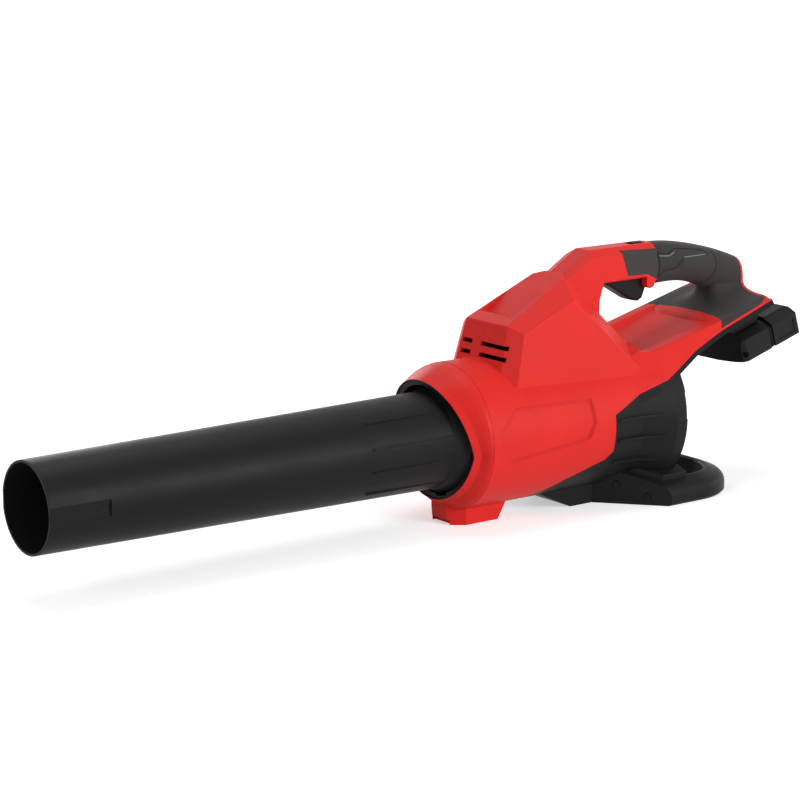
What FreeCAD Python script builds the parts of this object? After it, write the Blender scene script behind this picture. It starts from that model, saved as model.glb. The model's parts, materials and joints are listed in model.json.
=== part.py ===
import FreeCAD, Part
import math
import os

# Handheld battery leaf blower, tool only. Sizes are in millimetres and degrees.
# x runs from the tube mouth to the rear, y from the near side to the far side, z up.
# The fan axis is y = 0, z = 0 while the pieces are drawn; place_all moves the whole
# blower so that it stands on z = 0 with its middle length at x = 0.
V = FreeCAD.Vector
AXIS_X = V(1, 0, 0)
AXIS_Y = V(0, 1, 0)
AXIS_Z = V(0, 0, 1)
SIDES = {"left": -1, "right": 1}

# Walls, clearances and fasteners
shell_wall = 3.0
skin_wall = 2.5
seat_gap = 0.3
running_gap = 0.8
fit_gap = 0.05
screw_radius = 1.5
screw_head_radius = 3.0
screw_head_height = 2.6
boss_radius = 4.2
screw_depth = 10.0

# Height of the fan axis over the ground
axis_height = 90.5

# Tube
tube_seat_x = 496.0
tube_length = 496.0
tube_mouth_radius = 45.0
tube_root_radius = 50.5
tube_wall = 2.4
tube_root_x = 461.0
tube_flange_x = 476.0
tube_flange_radius = 57.0
tube_lug_count = 3
tube_lug_height = 2.0
tube_lug_length = 6.0
tube_lug_angle = 14.0
tube_lug_setback = 5.0
tube_track_length = 64.0
tube_track_width = 16.0
tube_track_depth = 0.9
tube_catch_length = 10.5
tube_catch_width = 10.0
tube_ridge_length = 100.0
tube_ridge_width = 1.4
tube_ridge_angles = [-43, -75, -103, -136]

# Mouth ring of the red housing: two leaning planes that meet at a kink
mouth_bore_radius = 63.0
mouth_kink_x = 475.4
mouth_kink_z = -9.0
mouth_lean_up = 17.3
mouth_lean_down = 7.2
mouth_lip_radius = 66.5
mouth_lip_depth = 8.0
mouth_step = 0.3
ring_steps = 4

# Barrel, cowl and intake bell, all round the fan axis
barrel_x = 490.0
barrel_radius = 77.0
barrel_length = 201.0
flare_length = 37.0
rim_length = 14.0
rim_radius = 90.0
bell_wall = 4.0
roof_thick = 8.0
skirt_wall = 4.0

# Socket that holds the tube
socket_flange_width = 4.0
socket_set_back = 2.5

# Hump over the barrel
hump_front = 540.3
hump_front_z = 113.6
hump_top_slope = 26.0
hump_top_half = 33.5
hump_front_slope = 14.0
hump_back_x = 690.0
hump_back_z = 95.0
hump_back_slope = 46.0
hump_edge_radius = 3.0

# Sloping recess in the top of the hump
scoop_front_x = 554.0
scoop_foot_x = 563.0
scoop_foot_z = 118.0
scoop_rear_x = 597.5
scoop_near_half = 26.3
scoop_far_half = 27.5

# Cooling slots in the front of the hump
vent_height = 4.6
vent_pitch = 11.3
vent_rows = 2
vent_low_z = 78.0
vent_near = (-40.0, 2.0)
vent_far = (16.5, 32.0)

# Tail platform and its shallow channel
tail_end = 886.0
tail_end_z = 110.5
tail_slope = 15.8
tail_crest_x = 717.8
tail_crest_half = 58.2
tail_crest_z = 70.8
tail_low_x = 728.0
tail_low_half = 80.0
tail_low_z = 40.0
tail_edge_radius = 2.0
tail_end_half = 65.5
tail_band = 4.6
channel_half = 34.0
tail_hollow_end = 795.0
tail_cavity_end = 808.0

# Handle bar and grip
bar_half_width = 20.0
bar_top_half = 10.0
bar_chamfer_drop = 7.0
bar_top_z = 177.3
bar_bottom_z = 142.0
bar_end = 757.0
leg_rear_x = 678.0
bar_edge_radius = 2.5
hook_x = 749.7
grip_half_width = 18.5
grip_half_height = 22.6
grip_root = 2.0

# Trigger
trigger_pivot_x = 703.0
trigger_pivot_z = 152.0
trigger_half_width = 10.3
trigger_slot_gap = 0.7
trigger_pin_radius = 2.5

# Lock button on the bar
button_x = 743.0
button_length = 13.0
button_half_width = 4.6
button_rise = 1.2

# Front foot
foot_x = 482.0
foot_length = 55.0
foot_half_width = 25.0
foot_gap_half = 14.6
foot_web_lift = 5.0

# Base under the cowl and its rear bumper loop
base_front_x = 631.0
base_front_half = 32.0
base_corner_x = 660.0
base_half_width = 95.5
base_wide_x = 717.0
base_shoulder = (9.5, 22.0)
base_roof_slope = 21.0
base_roof_half = 40.0
base_space_half = 87.0
base_ledge_height = 5.0
base_ledge_front = (684.0, 46.0)
base_ledge_side = (719.0, 79.0)
bumper_end = 833.0
bumper_width = 24.0
bumper_corner = 70.0
bumper_gap_start = 752.0

# Battery dock, drawn level and then tilted with the tail
dock_x = 846.0
dock_z = 42.8
dock_tilt = 17.0
dock_length = 87.0
dock_half_width = 66.0
dock_height = 30.0
dock_edge = 5.5
dock_nose = 3.5
dock_nose_top = 7.0
dock_step_u = 50.0
dock_groove_width = 6.0
dock_neck_half = 56.0
receiver_offset = 32.5
receiver_width = 52.0
receiver_depth = 16.0
receiver_start = 5.5
rail_lip = 4.5
rail_thick = 2.5
blade_count = 4
blade_thick = 1.0
blade_pitch = 9.0

# Fan and motor
duct_radius = 66.0
duct_wall = 2.5
duct_rear_x = 688.0
fan_x = 655.0
fan_hub_length = 33.0
fan_hub_radius = 35.0
fan_blade_count = 11
fan_blade_chord = 33.0
fan_blade_thick = 2.4
cup_radius = 36.0
cup_wall = 2.4
cup_x = 575.0
cup_length = 66.0
vane_count = 7
vane_thick = 2.2
vane_length = 50.0
cone_length = 56.0
shaft_radius = 4.0
shaft_front_x = 576.5
shaft_length = 122.0
bearing_radius = 11.0
bearing_width = 7.0
stator_length = 38.0
stator_bore = 20.5
stator_slots = 9
rotor_radius = 15.0
magnet_count = 6
magnet_thick = 4.0

# Electronics in the hump
tray_z = 80.0
tray_x = 572.0

# Stations of the cowl
flare_x = barrel_x + barrel_length
rim_x = flare_x + flare_length
rim_end = rim_x + rim_length

# Corners of the hump on the near side
corner_a = V(549.5, -50.0, 106.3)
corner_b = V(617.2, -48.5, 135.0)
corner_c = V(681.5, -57.0, 72.8)
corner_e = V(689.0, -60.0, 48.2)
corner_f = V(536.4, -55.6, 53.3)
corner_q = V(672.0, -20.0, 115.7)
corner_g = V(hump_front, -hump_top_half, hump_front_z)

# Lower edges of tail and barrel, (x, z)
tail_low_edge = [(726.0, 43.0), (742.0, 51.9), (770.0, 67.4), (808.0, 83.3), (850.0, 97.4),
                 (tail_end, 109.5)]
barrel_low_edge = [(552.0, -82.0), (579.0, -64.1), (600.3, -51.2), (627.3, -40.1), (645.0, -34.0),
                   (653.0, -26.0), (653.0, 13.5), (690.8, 30.4)]

# Ovals of the grip: x, z, share of the height, share of the width, tilt
grip_stations = [(752.0, 154.3, 1.0, 1.0, 0), (775.0, 153.8, 1.0, 1.0, 3), (800.0, 152.2, 0.94, 1.0, 8),
                 (822.0, 148.2, 0.92, 1.0, 13), (845.0, 141.5, 0.96, 1.03, 17),
                 (872.0, 131.5, 1.0, 1.06, 20),
                 (900.0, 121.0, 1.0, 1.06, 20)]

# Sections of the stem: height over the platform, reach, length, half width
stem_stations = [(-3.0, 82.0, 63.0), (1.2, 78.0, 60.0), (2.8, 67.0, 46.0), (4.8, 57.0, 32.0),
                 (7.8, 49.0, 24.5),
                 (12.5, 42.0, 20.4), (19.0, 39.0, 18.4), (28.0, 38.0, 18.8)]

# Rear face of the seal
socket_x = tube_seat_x + 1.0

# Edges of the grip cover
cover_front = 824.0
cover_rim = 3.0
cover_lift = 2.2

# Front pads
pad_inner = 13.0
pad_thick = 1.5

# Recess in the side of the housing
panel_depth = 1.6
panel_bevel = 4.0
panel_steps = 4

# Screws that hold the two housing halves: place and distance of the head's seat from the middle
housing_screw_spots = [(556.0, 100.0, 44.0), (668.0, 92.0, 44.0), (660.0, 150.0, 13.0),
                       (865.0, 133.0, 12.0),
                       (530.0, -78.0, 18.0)]

# Ledges and shelves inside the housing
shelf_inner = 30.0
shelf_half = 6.0
shelf_thick = 3.0
lock_shelf_z = 161.0

# Trigger spring and sensor
spring_x = 722.0
spring_top_z = 171.0
sensor_x = 704.0
sensor_length = 10.0
sensor_z = 164.0

# Electronics tray
tray_length = 90.0
tray_half_width = 38.0
tray_height = 14.0
tray_wall = 2.0

# Trigger pin
pin_half = 18.0

# Ribs of the cowl, in degrees from the top
gusset_angles = [84.5, 100.5, 120.0]

# Screws and legs of the base: distance from its corner and height
base_screw_spots = [(27.0, 21.5), (60.0, 9.6)]
leg_start = 18.0
leg_length = 49.0
leg_thick = 17.0

# Socket of the tube
tube_clearance = 0.08
tube_twist = 40.0
socket_flange_radius = barrel_radius - shell_wall - seat_gap
socket_end_x = socket_x + socket_flange_width

# Fan duct
duct_cone_end = 560.0
duct_bell_x = 672.0
end_plate_x = cup_x + cup_length - 3.0
ear_radius = 2.6
ear_length = 7.0

# Rubber rings of the duct
isolator_width = 8.0
isolator_front_x = 566.0
isolator_rear_x = 650.0

# Places of the stator
stator_radius = cup_radius - cup_wall - 0.4
stator_x = 592.0
tooth_half = 2.4

# Fan nut and washer
washer_thick = 1.5
nut_height = 6.0
nut_across = 13.0

# Intake guard
guard_x = rim_x + 4.2
guard_slat_depth = 3.2
guard_slat_width = 2.6
guard_pitch = 19.0
guard_bar_height = 3.0
guard_bar_depth = 2.2
guard_bar_levels = [-34.0, 30.0]

# Trigger spring and magnet
spring_radius = 4.0
spring_wire = 0.9
magnet_x = 713.0
magnet_radius = 2.5
magnet_length = 4.0
magnet_z = 154.0

# Lock button
lock_foot_z = bar_top_z - shell_wall - 1.6 - 5.4

# Board and its screws
tray_screw_y = 33.0
tray_screw_radius = 1.2
board_lift = 5.0
board_thick = 1.6
can_radius = 6.3
can_length = 18.0
can_gap = 0.2
can_x = tray_x + 60.5
can_places = [22.0, -27.0]

# Neck of the battery dock
neck_front = 818.0
neck_half = 50.0
dock_seat_w = receiver_depth + 0.5 + screw_head_height
block_length = 10.0


def poly_wire(points):
    """Closed wire through points."""
    return Part.makePolygon(points + [points[0]])


def revolve(profile, turn=360):
    """Solid of revolution about the fan axis from (x, radius) points."""
    face = Part.Face(poly_wire([V(x, 0, r) for x, r in profile]))
    return face.revolve(V(0, 0, 0), AXIS_X, turn)


def tube_ring(x0, x1, outer, inner):
    """Plain ring round the fan axis."""
    return revolve([(x0, inner), (x0, outer), (x1, outer), (x1, inner)])


def prism(profile, y0, y1):
    """Solid between two y planes from (x, z) points."""
    face = Part.Face(poly_wire([V(x, y0, z) for x, z in profile]))
    return face.extrude(V(0, y1 - y0, 0))


def plan_prism(plan, z0, z1):
    """Solid between two levels from (x, y) points."""
    face = Part.Face(poly_wire([V(x, y, z0) for x, y in plan]))
    return face.extrude(V(0, 0, z1 - z0))


def box(x0, x1, y0, y1, z0, z1):
    """Box between two corners."""
    return Part.makeBox(x1 - x0, y1 - y0, z1 - z0, V(x0, y0, z0))


def rod_y(radius, x, z, y0, y1):
    """Cylinder along y."""
    return Part.makeCylinder(radius, y1 - y0, V(x, y0, z), AXIS_Y)


def join(shapes):
    """One solid from several that overlap."""
    result = shapes[0]
    if len(shapes) > 1:
        result = result.fuse(shapes[1:])
    return result.removeSplitter()


def trim(shape, point, normal):
    """Cut away what lies outside the plane through point."""
    reach = 4000.0
    block = Part.makeBox(reach, reach, reach, V(-reach / 2, -reach / 2, 0))
    block.Placement = FreeCAD.Placement(point, FreeCAD.Rotation(AXIS_Z, normal))
    return shape.cut(block)


def plane_through(a, b, c, inside):
    """Point and outward unit normal of the plane through three points."""
    normal = (b - a).cross(c - a).normalize()
    if normal.dot(inside - a) > 0:
        normal = -normal
    return a, normal


def mirrored(plane):
    """The same plane on the other side of y = 0."""
    point, normal = plane
    return V(point.x, -point.y, point.z), V(normal.x, -normal.y, normal.z)


def convex(shape, planes, inset):
    """Cut a block by planes, each moved inwards by inset."""
    for point, normal in planes:
        shape = trim(shape, point - normal * inset, normal)
    return shape


def half(shape, side):
    """Near (left) or far (right) half of a shape."""
    return trim(shape, V(0, 0, 0), AXIS_Y * -SIDES[side])


def mouth_plane_x(z):
    """Place of the mouth ring's front edge at height z."""
    lean = mouth_lean_up if z > mouth_kink_z else -mouth_lean_down
    return mouth_kink_x - math.tan(math.radians(lean)) * (z - mouth_kink_z)


def ring_part(radius, place_x, upper):
    """Flat closed curve: the arc above or below the kink of the mouth ring, and its chord."""
    kink = math.asin(mouth_kink_z / radius)
    start, end = (kink, math.pi - kink) if upper else (math.pi - kink, 2 * math.pi + kink)
    steps = 12
    points = []
    for i in range(steps + 1):
        angle = start + (end - start) * i / steps
        z = radius * math.sin(angle)
        points.append(V(place_x(z), radius * math.cos(angle), z))
    curve = Part.BSplineCurve()
    curve.interpolate(points)
    return Part.Wire([curve.toShape(), Part.LineSegment(points[-1], points[0]).toShape()])


def loft(wires, ruled):
    """Closed solid through the wires."""
    body = Part.makeLoft(wires, True, ruled)
    if body.Volume < 0:
        body.reverse()
    return body


def front_ring():
    """Leaning mouth ring that widens from the bore to the barrel, still filled."""
    def lip_x(z):
        return mouth_plane_x(z) + mouth_lip_depth

    def start_x(z):
        return mouth_plane_x(z) - mouth_lip_depth / (mouth_lip_radius - mouth_bore_radius)

    end_radius = barrel_radius - mouth_step
    end_x = barrel_x + mouth_step

    def between(share):
        radius = mouth_lip_radius + (end_radius - mouth_lip_radius) * math.sin(math.radians(90 * share))
        flat = mouth_lip_radius / radius
        return radius, lambda z: lip_x(z * flat) * (1 - share) + end_x * share

    halves = []
    for upper in (True, False):
        wires = [ring_part(mouth_bore_radius - 1, start_x, upper)]
        for i in range(ring_steps + 1):
            radius, place_x = between(i / ring_steps)
            wires.append(ring_part(radius, place_x, upper))
        halves.append(loft(wires, True))
    return halves[0].fuse(halves[1])


def barrel(inset):
    """Round body of the housing and cowl, without the bell."""
    return Part.makeCylinder(barrel_radius - inset, barrel_length, V(barrel_x, 0, 0), AXIS_X)


def bell():
    """Flared rear end of the cowl, filled."""
    return revolve([(flare_x, 0), (flare_x, barrel_radius), (rim_x, rim_radius), (rim_end, rim_radius),
                    (rim_end, 0)])


def valley(drop):
    """Outline of the space above the hump's back and the platform, lowered by drop."""
    back = math.tan(math.radians(hump_back_slope))
    rise = math.tan(math.radians(tail_slope))
    x = (hump_back_z - tail_end_z + back * hump_back_x + rise * tail_end) / (back + rise)
    reach = 20.0
    return [(hump_back_x - reach, hump_back_z + back * reach - drop), (x, platform_z(x) - drop),
            (tail_end + reach, platform_z(tail_end + reach) - drop), (tail_end + reach, 260),
            (hump_back_x - reach, 260)]


def air_path(grow):
    """Air space inside the cowl, up to the roof under the hump's back and the platform."""
    throat = barrel_radius - bell_wall + grow
    mouth = rim_radius - bell_wall + grow
    space = revolve([(duct_rear_x - grow, 0), (duct_rear_x - grow, throat), (flare_x, throat),
                     (rim_x, mouth),
                     (bumper_gap_start + grow, mouth), (bumper_gap_start + grow, 0)])
    space = space.cut(prism(valley(roof_thick - grow), -120, 120))
    return convex(space, tail_sides(), skirt_wall - grow)


def under_tail():
    """Hollow behind the cowl, between the side skirts of the tail."""
    space = box(rim_end - 1, tail_hollow_end, -90, 90, 0, 120)
    space = space.cut(prism(valley(roof_thick), -120, 120))
    return convex(space, tail_sides(), skirt_wall)


def slope_plane(point, slope, rearward):
    """Plane that rises towards the rear, or falls towards it, by slope degrees."""
    angle = math.radians(slope)
    return point, V(math.sin(angle) * (1 if rearward else -1), 0, math.cos(angle))


def hump(inset):
    """Faceted hump over the barrel that holds the electronics."""
    inside = V(620, 0, 60)
    side = plane_through(corner_a, corner_f, corner_e, inside)
    chamfer = plane_through(corner_g, corner_a, corner_b, inside)
    front_corner = plane_through(corner_g, corner_a, corner_f, inside)
    rear = plane_through(corner_b, corner_c, corner_q, inside)
    planes = [slope_plane(corner_g, hump_top_slope, False),
              slope_plane(corner_g, 90 - hump_front_slope, False),
              slope_plane(V(hump_back_x, 0, hump_back_z), hump_back_slope, True)]
    for plane in (side, chamfer, front_corner, rear):
        planes += [plane, mirrored(plane)]
    return convex(box(500, 730, -80, 80, 20, 190), planes, inset)


def scoop(grow):
    """Sloping recess in the hump's top: deep at its front wall, level with the top at its rear."""
    front = (scoop_front_x - grow, hump_top_z(scoop_front_x) - grow)
    foot_point = (scoop_foot_x, scoop_foot_z - grow)
    rear = (scoop_rear_x + grow, hump_top_z(scoop_rear_x) - grow * 0.4)
    body = prism([front, foot_point, rear, (rear[0], 170), (front[0], 170)], -40, 40)
    far = V(scoop_front_x, scoop_far_half, 120)
    near = V(scoop_front_x, -scoop_near_half, 120)
    planes = [(far, V(0, 1, -0.12).normalize()), (near, V(0.175, -1, -0.12).normalize())]
    return convex(body, planes, -grow)


def hump_top_z(x):
    """Height of the hump's top at x."""
    return hump_front_z + math.tan(math.radians(hump_top_slope)) * (x - hump_front)


def rounded_hump():
    """Hump with soft edges and the recess in its top."""
    body = hump(0)
    edges = [e for e in body.Edges if e.BoundBox.ZMax > 62 and e.BoundBox.XMin < 728]
    return body.makeFillet(hump_edge_radius, edges).cut(scoop(0))


def platform_normal():
    """Upward normal of the tail platform."""
    angle = math.radians(tail_slope)
    return V(-math.sin(angle), 0, math.cos(angle))


def platform_z(x):
    """Height of the platform at x."""
    return tail_end_z - math.tan(math.radians(tail_slope)) * (tail_end - x)


def tail_sides():
    """Leaning side planes of the tail."""
    crest = V(tail_crest_x, -tail_crest_half, tail_crest_z)
    rear = V(tail_end, -tail_end_half, tail_end_z)
    low = V(tail_low_x, -tail_low_half, tail_low_z)
    side = plane_through(crest, rear, low, V(760, 0, 60))
    return [side, mirrored(side)]


def tail_front():
    """Facets that turn the tail's sides in towards the hump and the barrel."""
    crest = V(tail_crest_x, -tail_crest_half, tail_crest_z)
    facet = plane_through(crest, corner_e, V(tail_low_x, -tail_low_half, tail_low_z), V(760, 0, 60))
    return [facet, mirrored(facet)]


def tail(inset, under_inset, end):
    """Wedge of the tail platform, from the hump to its end, with the channel in its top."""
    under = [(x, z - tail_band + under_inset) for x, z in tail_low_edge if x < end]
    crest = (tail_end_z - tail_crest_z) / (tail_end - tail_crest_x)
    top_z = tail_end_z - crest * (tail_end - end) - inset
    low_x, low_z = under[-1]
    rise = (tail_low_edge[-1][1] - tail_low_edge[-2][1]) / (tail_end - tail_low_edge[-2][0])
    rear = [(end, low_z + rise * (end - low_x)), (end, top_z)]
    front = tail_crest_x - 40
    body = prism([(front, 20 + under_inset), (700, 25 + under_inset)] + under + rear
                 + [(tail_crest_x, tail_crest_z - inset), (front, tail_crest_z - inset)], -95, 95)
    return convex(body, tail_sides() + tail_front(), inset).cut(channel(inset))


def rounded_tail():
    """Tail with soft crests along the channel."""
    body = tail(0, 0, tail_end)
    edges = [e for e in body.Edges if e.BoundBox.ZMin > 62 and e.BoundBox.XLength > 60
             and abs(e.CenterOfMass.y) > channel_half]
    return body.makeFillet(tail_edge_radius, edges)


def channel(grow):
    """Shallow channel in the platform between its two raised edges."""
    floor = (V(tail_end, 0, tail_end_z), -platform_normal())
    wall = plane_through(V(tail_end, channel_half + 18, tail_end_z), V(700, channel_half, platform_z(700)),
                         V(700, channel_half + 14, platform_z(700) + 10), V(760, 0, 80))
    block = box(tail_crest_x - 60, tail_end + 10, -90, 90, 0, 200)
    return convex(block, [floor, wall, mirrored(wall)], -grow)


def bar(inset):
    """Front leg and straight bar of the handle."""
    w = bar_half_width - inset
    under = bar_bottom_z + inset
    leg = leg_rear_x - inset
    profile = [(628 + inset, 60), (628 + inset, 152), (633 + inset * 0.6, 155 - inset),
               (669 + inset * 0.4, bar_top_z - inset),
               (bar_end + 2, bar_top_z - inset), (bar_end + 2, under), (leg + 6, under - 0.5),
               (leg + 0.5, 124), (leg, 107), (leg + 11, 93), (leg + 11, 60)]
    body = prism(profile, -w, w)
    edge = V(0, -bar_top_half, bar_top_z)
    drop = V(0, -bar_half_width, bar_top_z - bar_chamfer_drop)
    flat = plane_through(edge, drop, V(10, -bar_top_half, bar_top_z), V(5, 0, 0))
    ramp = plane_through(V(633, -bar_top_half, 155), V(669, -bar_top_half, bar_top_z),
                         V(628.9, -bar_half_width, 149), V(660, 0, 100))
    planes = [flat, mirrored(flat), ramp, mirrored(ramp)]
    return convex(body, planes, inset)


def hooks(inset):
    """Lugs of the bar's sides that reach down behind the trigger."""
    profile = [(hook_x - 6.0, 141.0), (hook_x - 6.0, 133.5), (hook_x - 1.2, 129.9), (hook_x + 3.5, 131.6),
               (hook_x + 6.2, 137.5), (bar_end + 1.0, 139.0), (bar_end + 1.0, 145.0), (hook_x - 6.0, 145.0)]
    inner = trigger_half_width + trigger_slot_gap
    outer = bar_half_width - inset
    return [prism(profile, -outer, -inner), prism(profile, inner, outer)]


def rounded_bar():
    """Bar with soft edges and its two lugs."""
    body = bar(0)
    edges = [e for e in body.Edges if bar_edge_is_soft(e.BoundBox)]
    return body.makeFillet(bar_edge_radius, edges).fuse(hooks(0))


def bar_edge_is_soft(place):
    """True for the long edges of the bar and the leg, behind the ramp's front."""
    along_bar = place.XMin > leg_rear_x - 14 and place.XLength > 20
    along_leg = place.XMax < leg_rear_x + 14 and place.XMin > leg_rear_x - 1 and place.YLength < 0.1
    return along_bar or along_leg


def oval(x, z, half_height, half_width, tilt):
    """Rounded section of the grip, square to a line that falls rearwards by tilt degrees."""
    fall = math.radians(tilt)
    points = []
    for i in range(16):
        angle = 2 * math.pi * (i + 0.5) / 16
        c = math.cos(angle)
        s = math.sin(angle)
        across = half_width * math.copysign(abs(c) ** 0.8, c)
        up = half_height * math.copysign(abs(s) ** 0.8, s)
        points.append(V(x + up * math.sin(fall), across, z + up * math.cos(fall)))
    curve = Part.BSplineCurve()
    curve.interpolate(points, PeriodicFlag=True)
    return Part.Wire([curve.toShape()])


def grip(inset):
    """Curved grip, from the bar to the rear of the stem."""
    wires = [oval(x, z, grip_half_height * high - inset, grip_half_width * wide - inset, tilt)
             for x, z, high, wide, tilt in grip_stations]
    body = trim(loft(wires, False), V(tail_end - inset, 0, 0), AXIS_X)
    return trim(body, V(tail_end, 0, tail_end_z - grip_root + inset), -platform_normal())


def stem_section(height, reach, half_width, inset):
    """Rounded section of the stem, parallel to the platform."""
    length = reach + 20.0
    points = []
    for i in range(20):
        angle = 2 * math.pi * (i + 0.5) / 20
        c = math.cos(angle)
        s = math.sin(angle)
        along = 20.0 - length / 2 + (length / 2 - inset) * math.copysign(abs(c) ** 0.55, c)
        across = (half_width - inset) * math.copysign(abs(s) ** 0.55, s)
        points.append(V(along, across, height - inset))
    curve = Part.BSplineCurve()
    curve.interpolate(points, PeriodicFlag=True)
    return Part.Wire([curve.toShape()])


def stem(inset):
    """Rear stem that flares out into the platform."""
    body = loft([stem_section(h, reach, w, inset) for h, reach, w in stem_stations], False)
    body.Placement = FreeCAD.Placement(V(tail_end, 0, tail_end_z),
                                       FreeCAD.Rotation(AXIS_Y, -tail_slope))
    return trim(body, V(tail_end - inset, 0, 0), AXIS_X)


def foot():
    """Front foot with two toes."""
    side = [(foot_x, -axis_height), (foot_x + foot_length, -axis_height),
            (foot_x + foot_length + 12, -70), (foot_x + foot_length + 12, -60),
            (foot_x - 4, -60), (foot_x - 4, -74)]
    block = prism(side, -foot_half_width, foot_half_width)
    toe_front = 13.0
    for sign in (-1, 1):
        block = trim(block, V(foot_x, sign * foot_gap_half, 0), V(-0.62, sign * 0.78, 0))
    gap = box(foot_x - 20, foot_x + 4, -foot_gap_half, foot_gap_half, -axis_height - 1, -axis_height
              + foot_web_lift)
    slot = box(foot_x + toe_front, foot_x + foot_length + 30, -foot_gap_half + 4, foot_gap_half - 4,
               -axis_height - 1, -axis_height + foot_web_lift)
    return block.cut(gap).cut(slot)


def lower_prism(lift=0):
    """Everything below the line where the red housing meets the black cowl."""
    line = [(x, z + lift) for x, z in barrel_low_edge + tail_low_edge + [(tail_end + 80, 120)]]
    return prism(line + [(tail_end + 80, -150), (552, -150)], -150, 150)


def base_slants():
    """The two slanting front walls of the base."""
    corner = V(base_corner_x, -base_front_half + 1, 0)
    wide = V(base_wide_x, -base_half_width, 0)
    slant = plane_through(corner, wide, corner + AXIS_Z, V(base_wide_x, 0, 0))
    return [slant, mirrored(slant)]


def roof_planes():
    """Sloping tops of the base on both sides."""
    s1, z1 = base_shoulder
    angle = math.radians(base_roof_slope)
    planes = []
    for sign in (-1, 1):
        edge = V(0, sign * (base_half_width - s1), z1 - axis_height)
        planes.append((edge, V(0, sign * math.sin(angle), math.cos(angle))))
    return planes


def base_space(inset):
    """Hollow of the base behind its slanting walls."""
    side = base_space_half - inset
    block = box(base_front_x, bumper_gap_start - inset, -side, side, inset - axis_height, 0)
    return convex(block, base_slants() + roof_planes(), inset)


def base_ledge():
    """Low ledge on the base, round the flare of the cowl."""
    front_x, front_y = base_ledge_front
    side_x, side_y = base_ledge_side
    plan = [(front_x, -front_y), (side_x, -side_y), (bumper_gap_start, -side_y), (bumper_gap_start, side_y),
            (side_x, side_y), (front_x, front_y)]
    body = plan_prism(plan, -axis_height + 15, -40)
    body = convex(body, roof_planes(), -base_ledge_height)
    edges = [e for e in body.Edges if e.BoundBox.ZMin > -68 and e.BoundBox.XMin > front_x + 1
             and e.BoundBox.XMin < bumper_gap_start - 1 and abs(e.CenterOfMass.y) > side_y - 1]
    return body.makeFillet(1.5, edges)


def keel(inset):
    """Sloping front of the base, up to the barrel."""
    profile = [(576 + inset * 3, -60), (590 + inset, -71.6 + inset),
               (base_front_x + inset, -axis_height + inset),
               (base_front_x + 30, -axis_height + inset), (base_front_x + 30, -45), (590 + inset, -45)]
    return prism(profile, -base_front_half + 1 + inset, base_front_half - 1 - inset)


def loop_section():
    """Section of the bumper as a face in the x = 0 plane, its outer side at y = 0 and its foot at z = 0."""
    def p(y, z):
        return V(0, y, z)

    s1, z1 = base_shoulder
    end = bumper_width
    top = base_roof_up(end - 5)
    edges = [Part.LineSegment(p(2.5, 0), p(end - 2.0, 0)).toShape(),
             Part.LineSegment(p(end - 2.0, 0), p(end, 2.0)).toShape(),
             Part.LineSegment(p(end, 2.0), p(end, top - 5.5)).toShape(),
             Part.Arc(p(end, top - 5.5), p(end - 1.2, top - 1.3), p(end - 5, top)).toShape(),
             Part.LineSegment(p(end - 5, top), p(s1, z1)).toShape(),
             Part.Arc(p(s1, z1), p(2.9, 17.6), p(0, 9.5)).toShape(),
             Part.LineSegment(p(0, 9.5), p(0, 2.5)).toShape(),
             Part.LineSegment(p(0, 2.5), p(2.5, 0)).toShape()]
    return Part.Face(Part.Wire(edges))


def base_roof_up(inwards):
    """Height of the base's sloping top over the ground, by the distance from its outer side."""
    s1, z1 = base_shoulder
    return z1 + math.tan(math.radians(base_roof_slope)) * (inwards - s1)


def bumper_half():
    """Near half of the bumper loop: straight side, quarter turn and half of the rear bar."""
    face = loop_section()
    face.translate(V(bumper_gap_start - 1, -base_half_width, -axis_height))
    turn_x = bumper_end - bumper_corner
    side = face.extrude(V(turn_x - bumper_gap_start + 1, 0, 0))
    face = face.copy()
    face.translate(V(turn_x - bumper_gap_start + 1, 0, 0))
    middle = V(turn_x, bumper_corner - base_half_width, 0)
    corner = face.revolve(middle, AXIS_Z, 90)
    end = face.copy()
    end.rotate(middle, AXIS_Z, 90)
    rear = end.extrude(V(0, base_half_width - bumper_corner, 0))
    return [side, corner, rear]


def base_block():
    """Filled base before the cowl: sloping tops, round shoulders and slanting front walls."""
    s1, z1 = base_shoulder
    half = [Part.LineSegment(V(0, 0, 0), V(0, 2.5 - base_half_width, 0)).toShape(),
            Part.LineSegment(V(0, 2.5 - base_half_width, 0), V(0, -base_half_width, 2.5)).toShape(),
            Part.LineSegment(V(0, -base_half_width, 2.5), V(0, -base_half_width, 9.5)).toShape(),
            Part.Arc(V(0, -base_half_width, 9.5), V(0, 2.9 - base_half_width, 17.6),
                     V(0, s1 - base_half_width, z1)).toShape(),
            Part.LineSegment(V(0, s1 - base_half_width, z1),
                             V(0, -base_roof_half,
                               base_roof_up(base_half_width - base_roof_half))).toShape(),
            Part.LineSegment(V(0, -base_roof_half, base_roof_up(base_half_width - base_roof_half)),
                             V(0, 0, base_roof_up(base_half_width - base_roof_half))).toShape(),
            Part.LineSegment(V(0, 0, base_roof_up(base_half_width - base_roof_half)), V(0, 0, 0)).toShape()]
    near = Part.Face(Part.Wire(half)).extrude(V(bumper_gap_start - base_corner_x + 5, 0, 0))
    near.translate(V(base_corner_x - 5, 0, -axis_height))
    far = near.mirror(V(0, 0, 0), AXIS_Y)
    return convex(near.fuse(far).removeSplitter(), base_slants(), 0)


def rounded_bumper():
    """Base and bumper in one: slanting walls in front, and a loop with room for a hand behind the cowl."""
    near = bumper_half()
    far = [piece.mirror(V(0, 0, 0), AXIS_Y) for piece in near]
    return base_block().fuse(near + far).removeSplitter()


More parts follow.
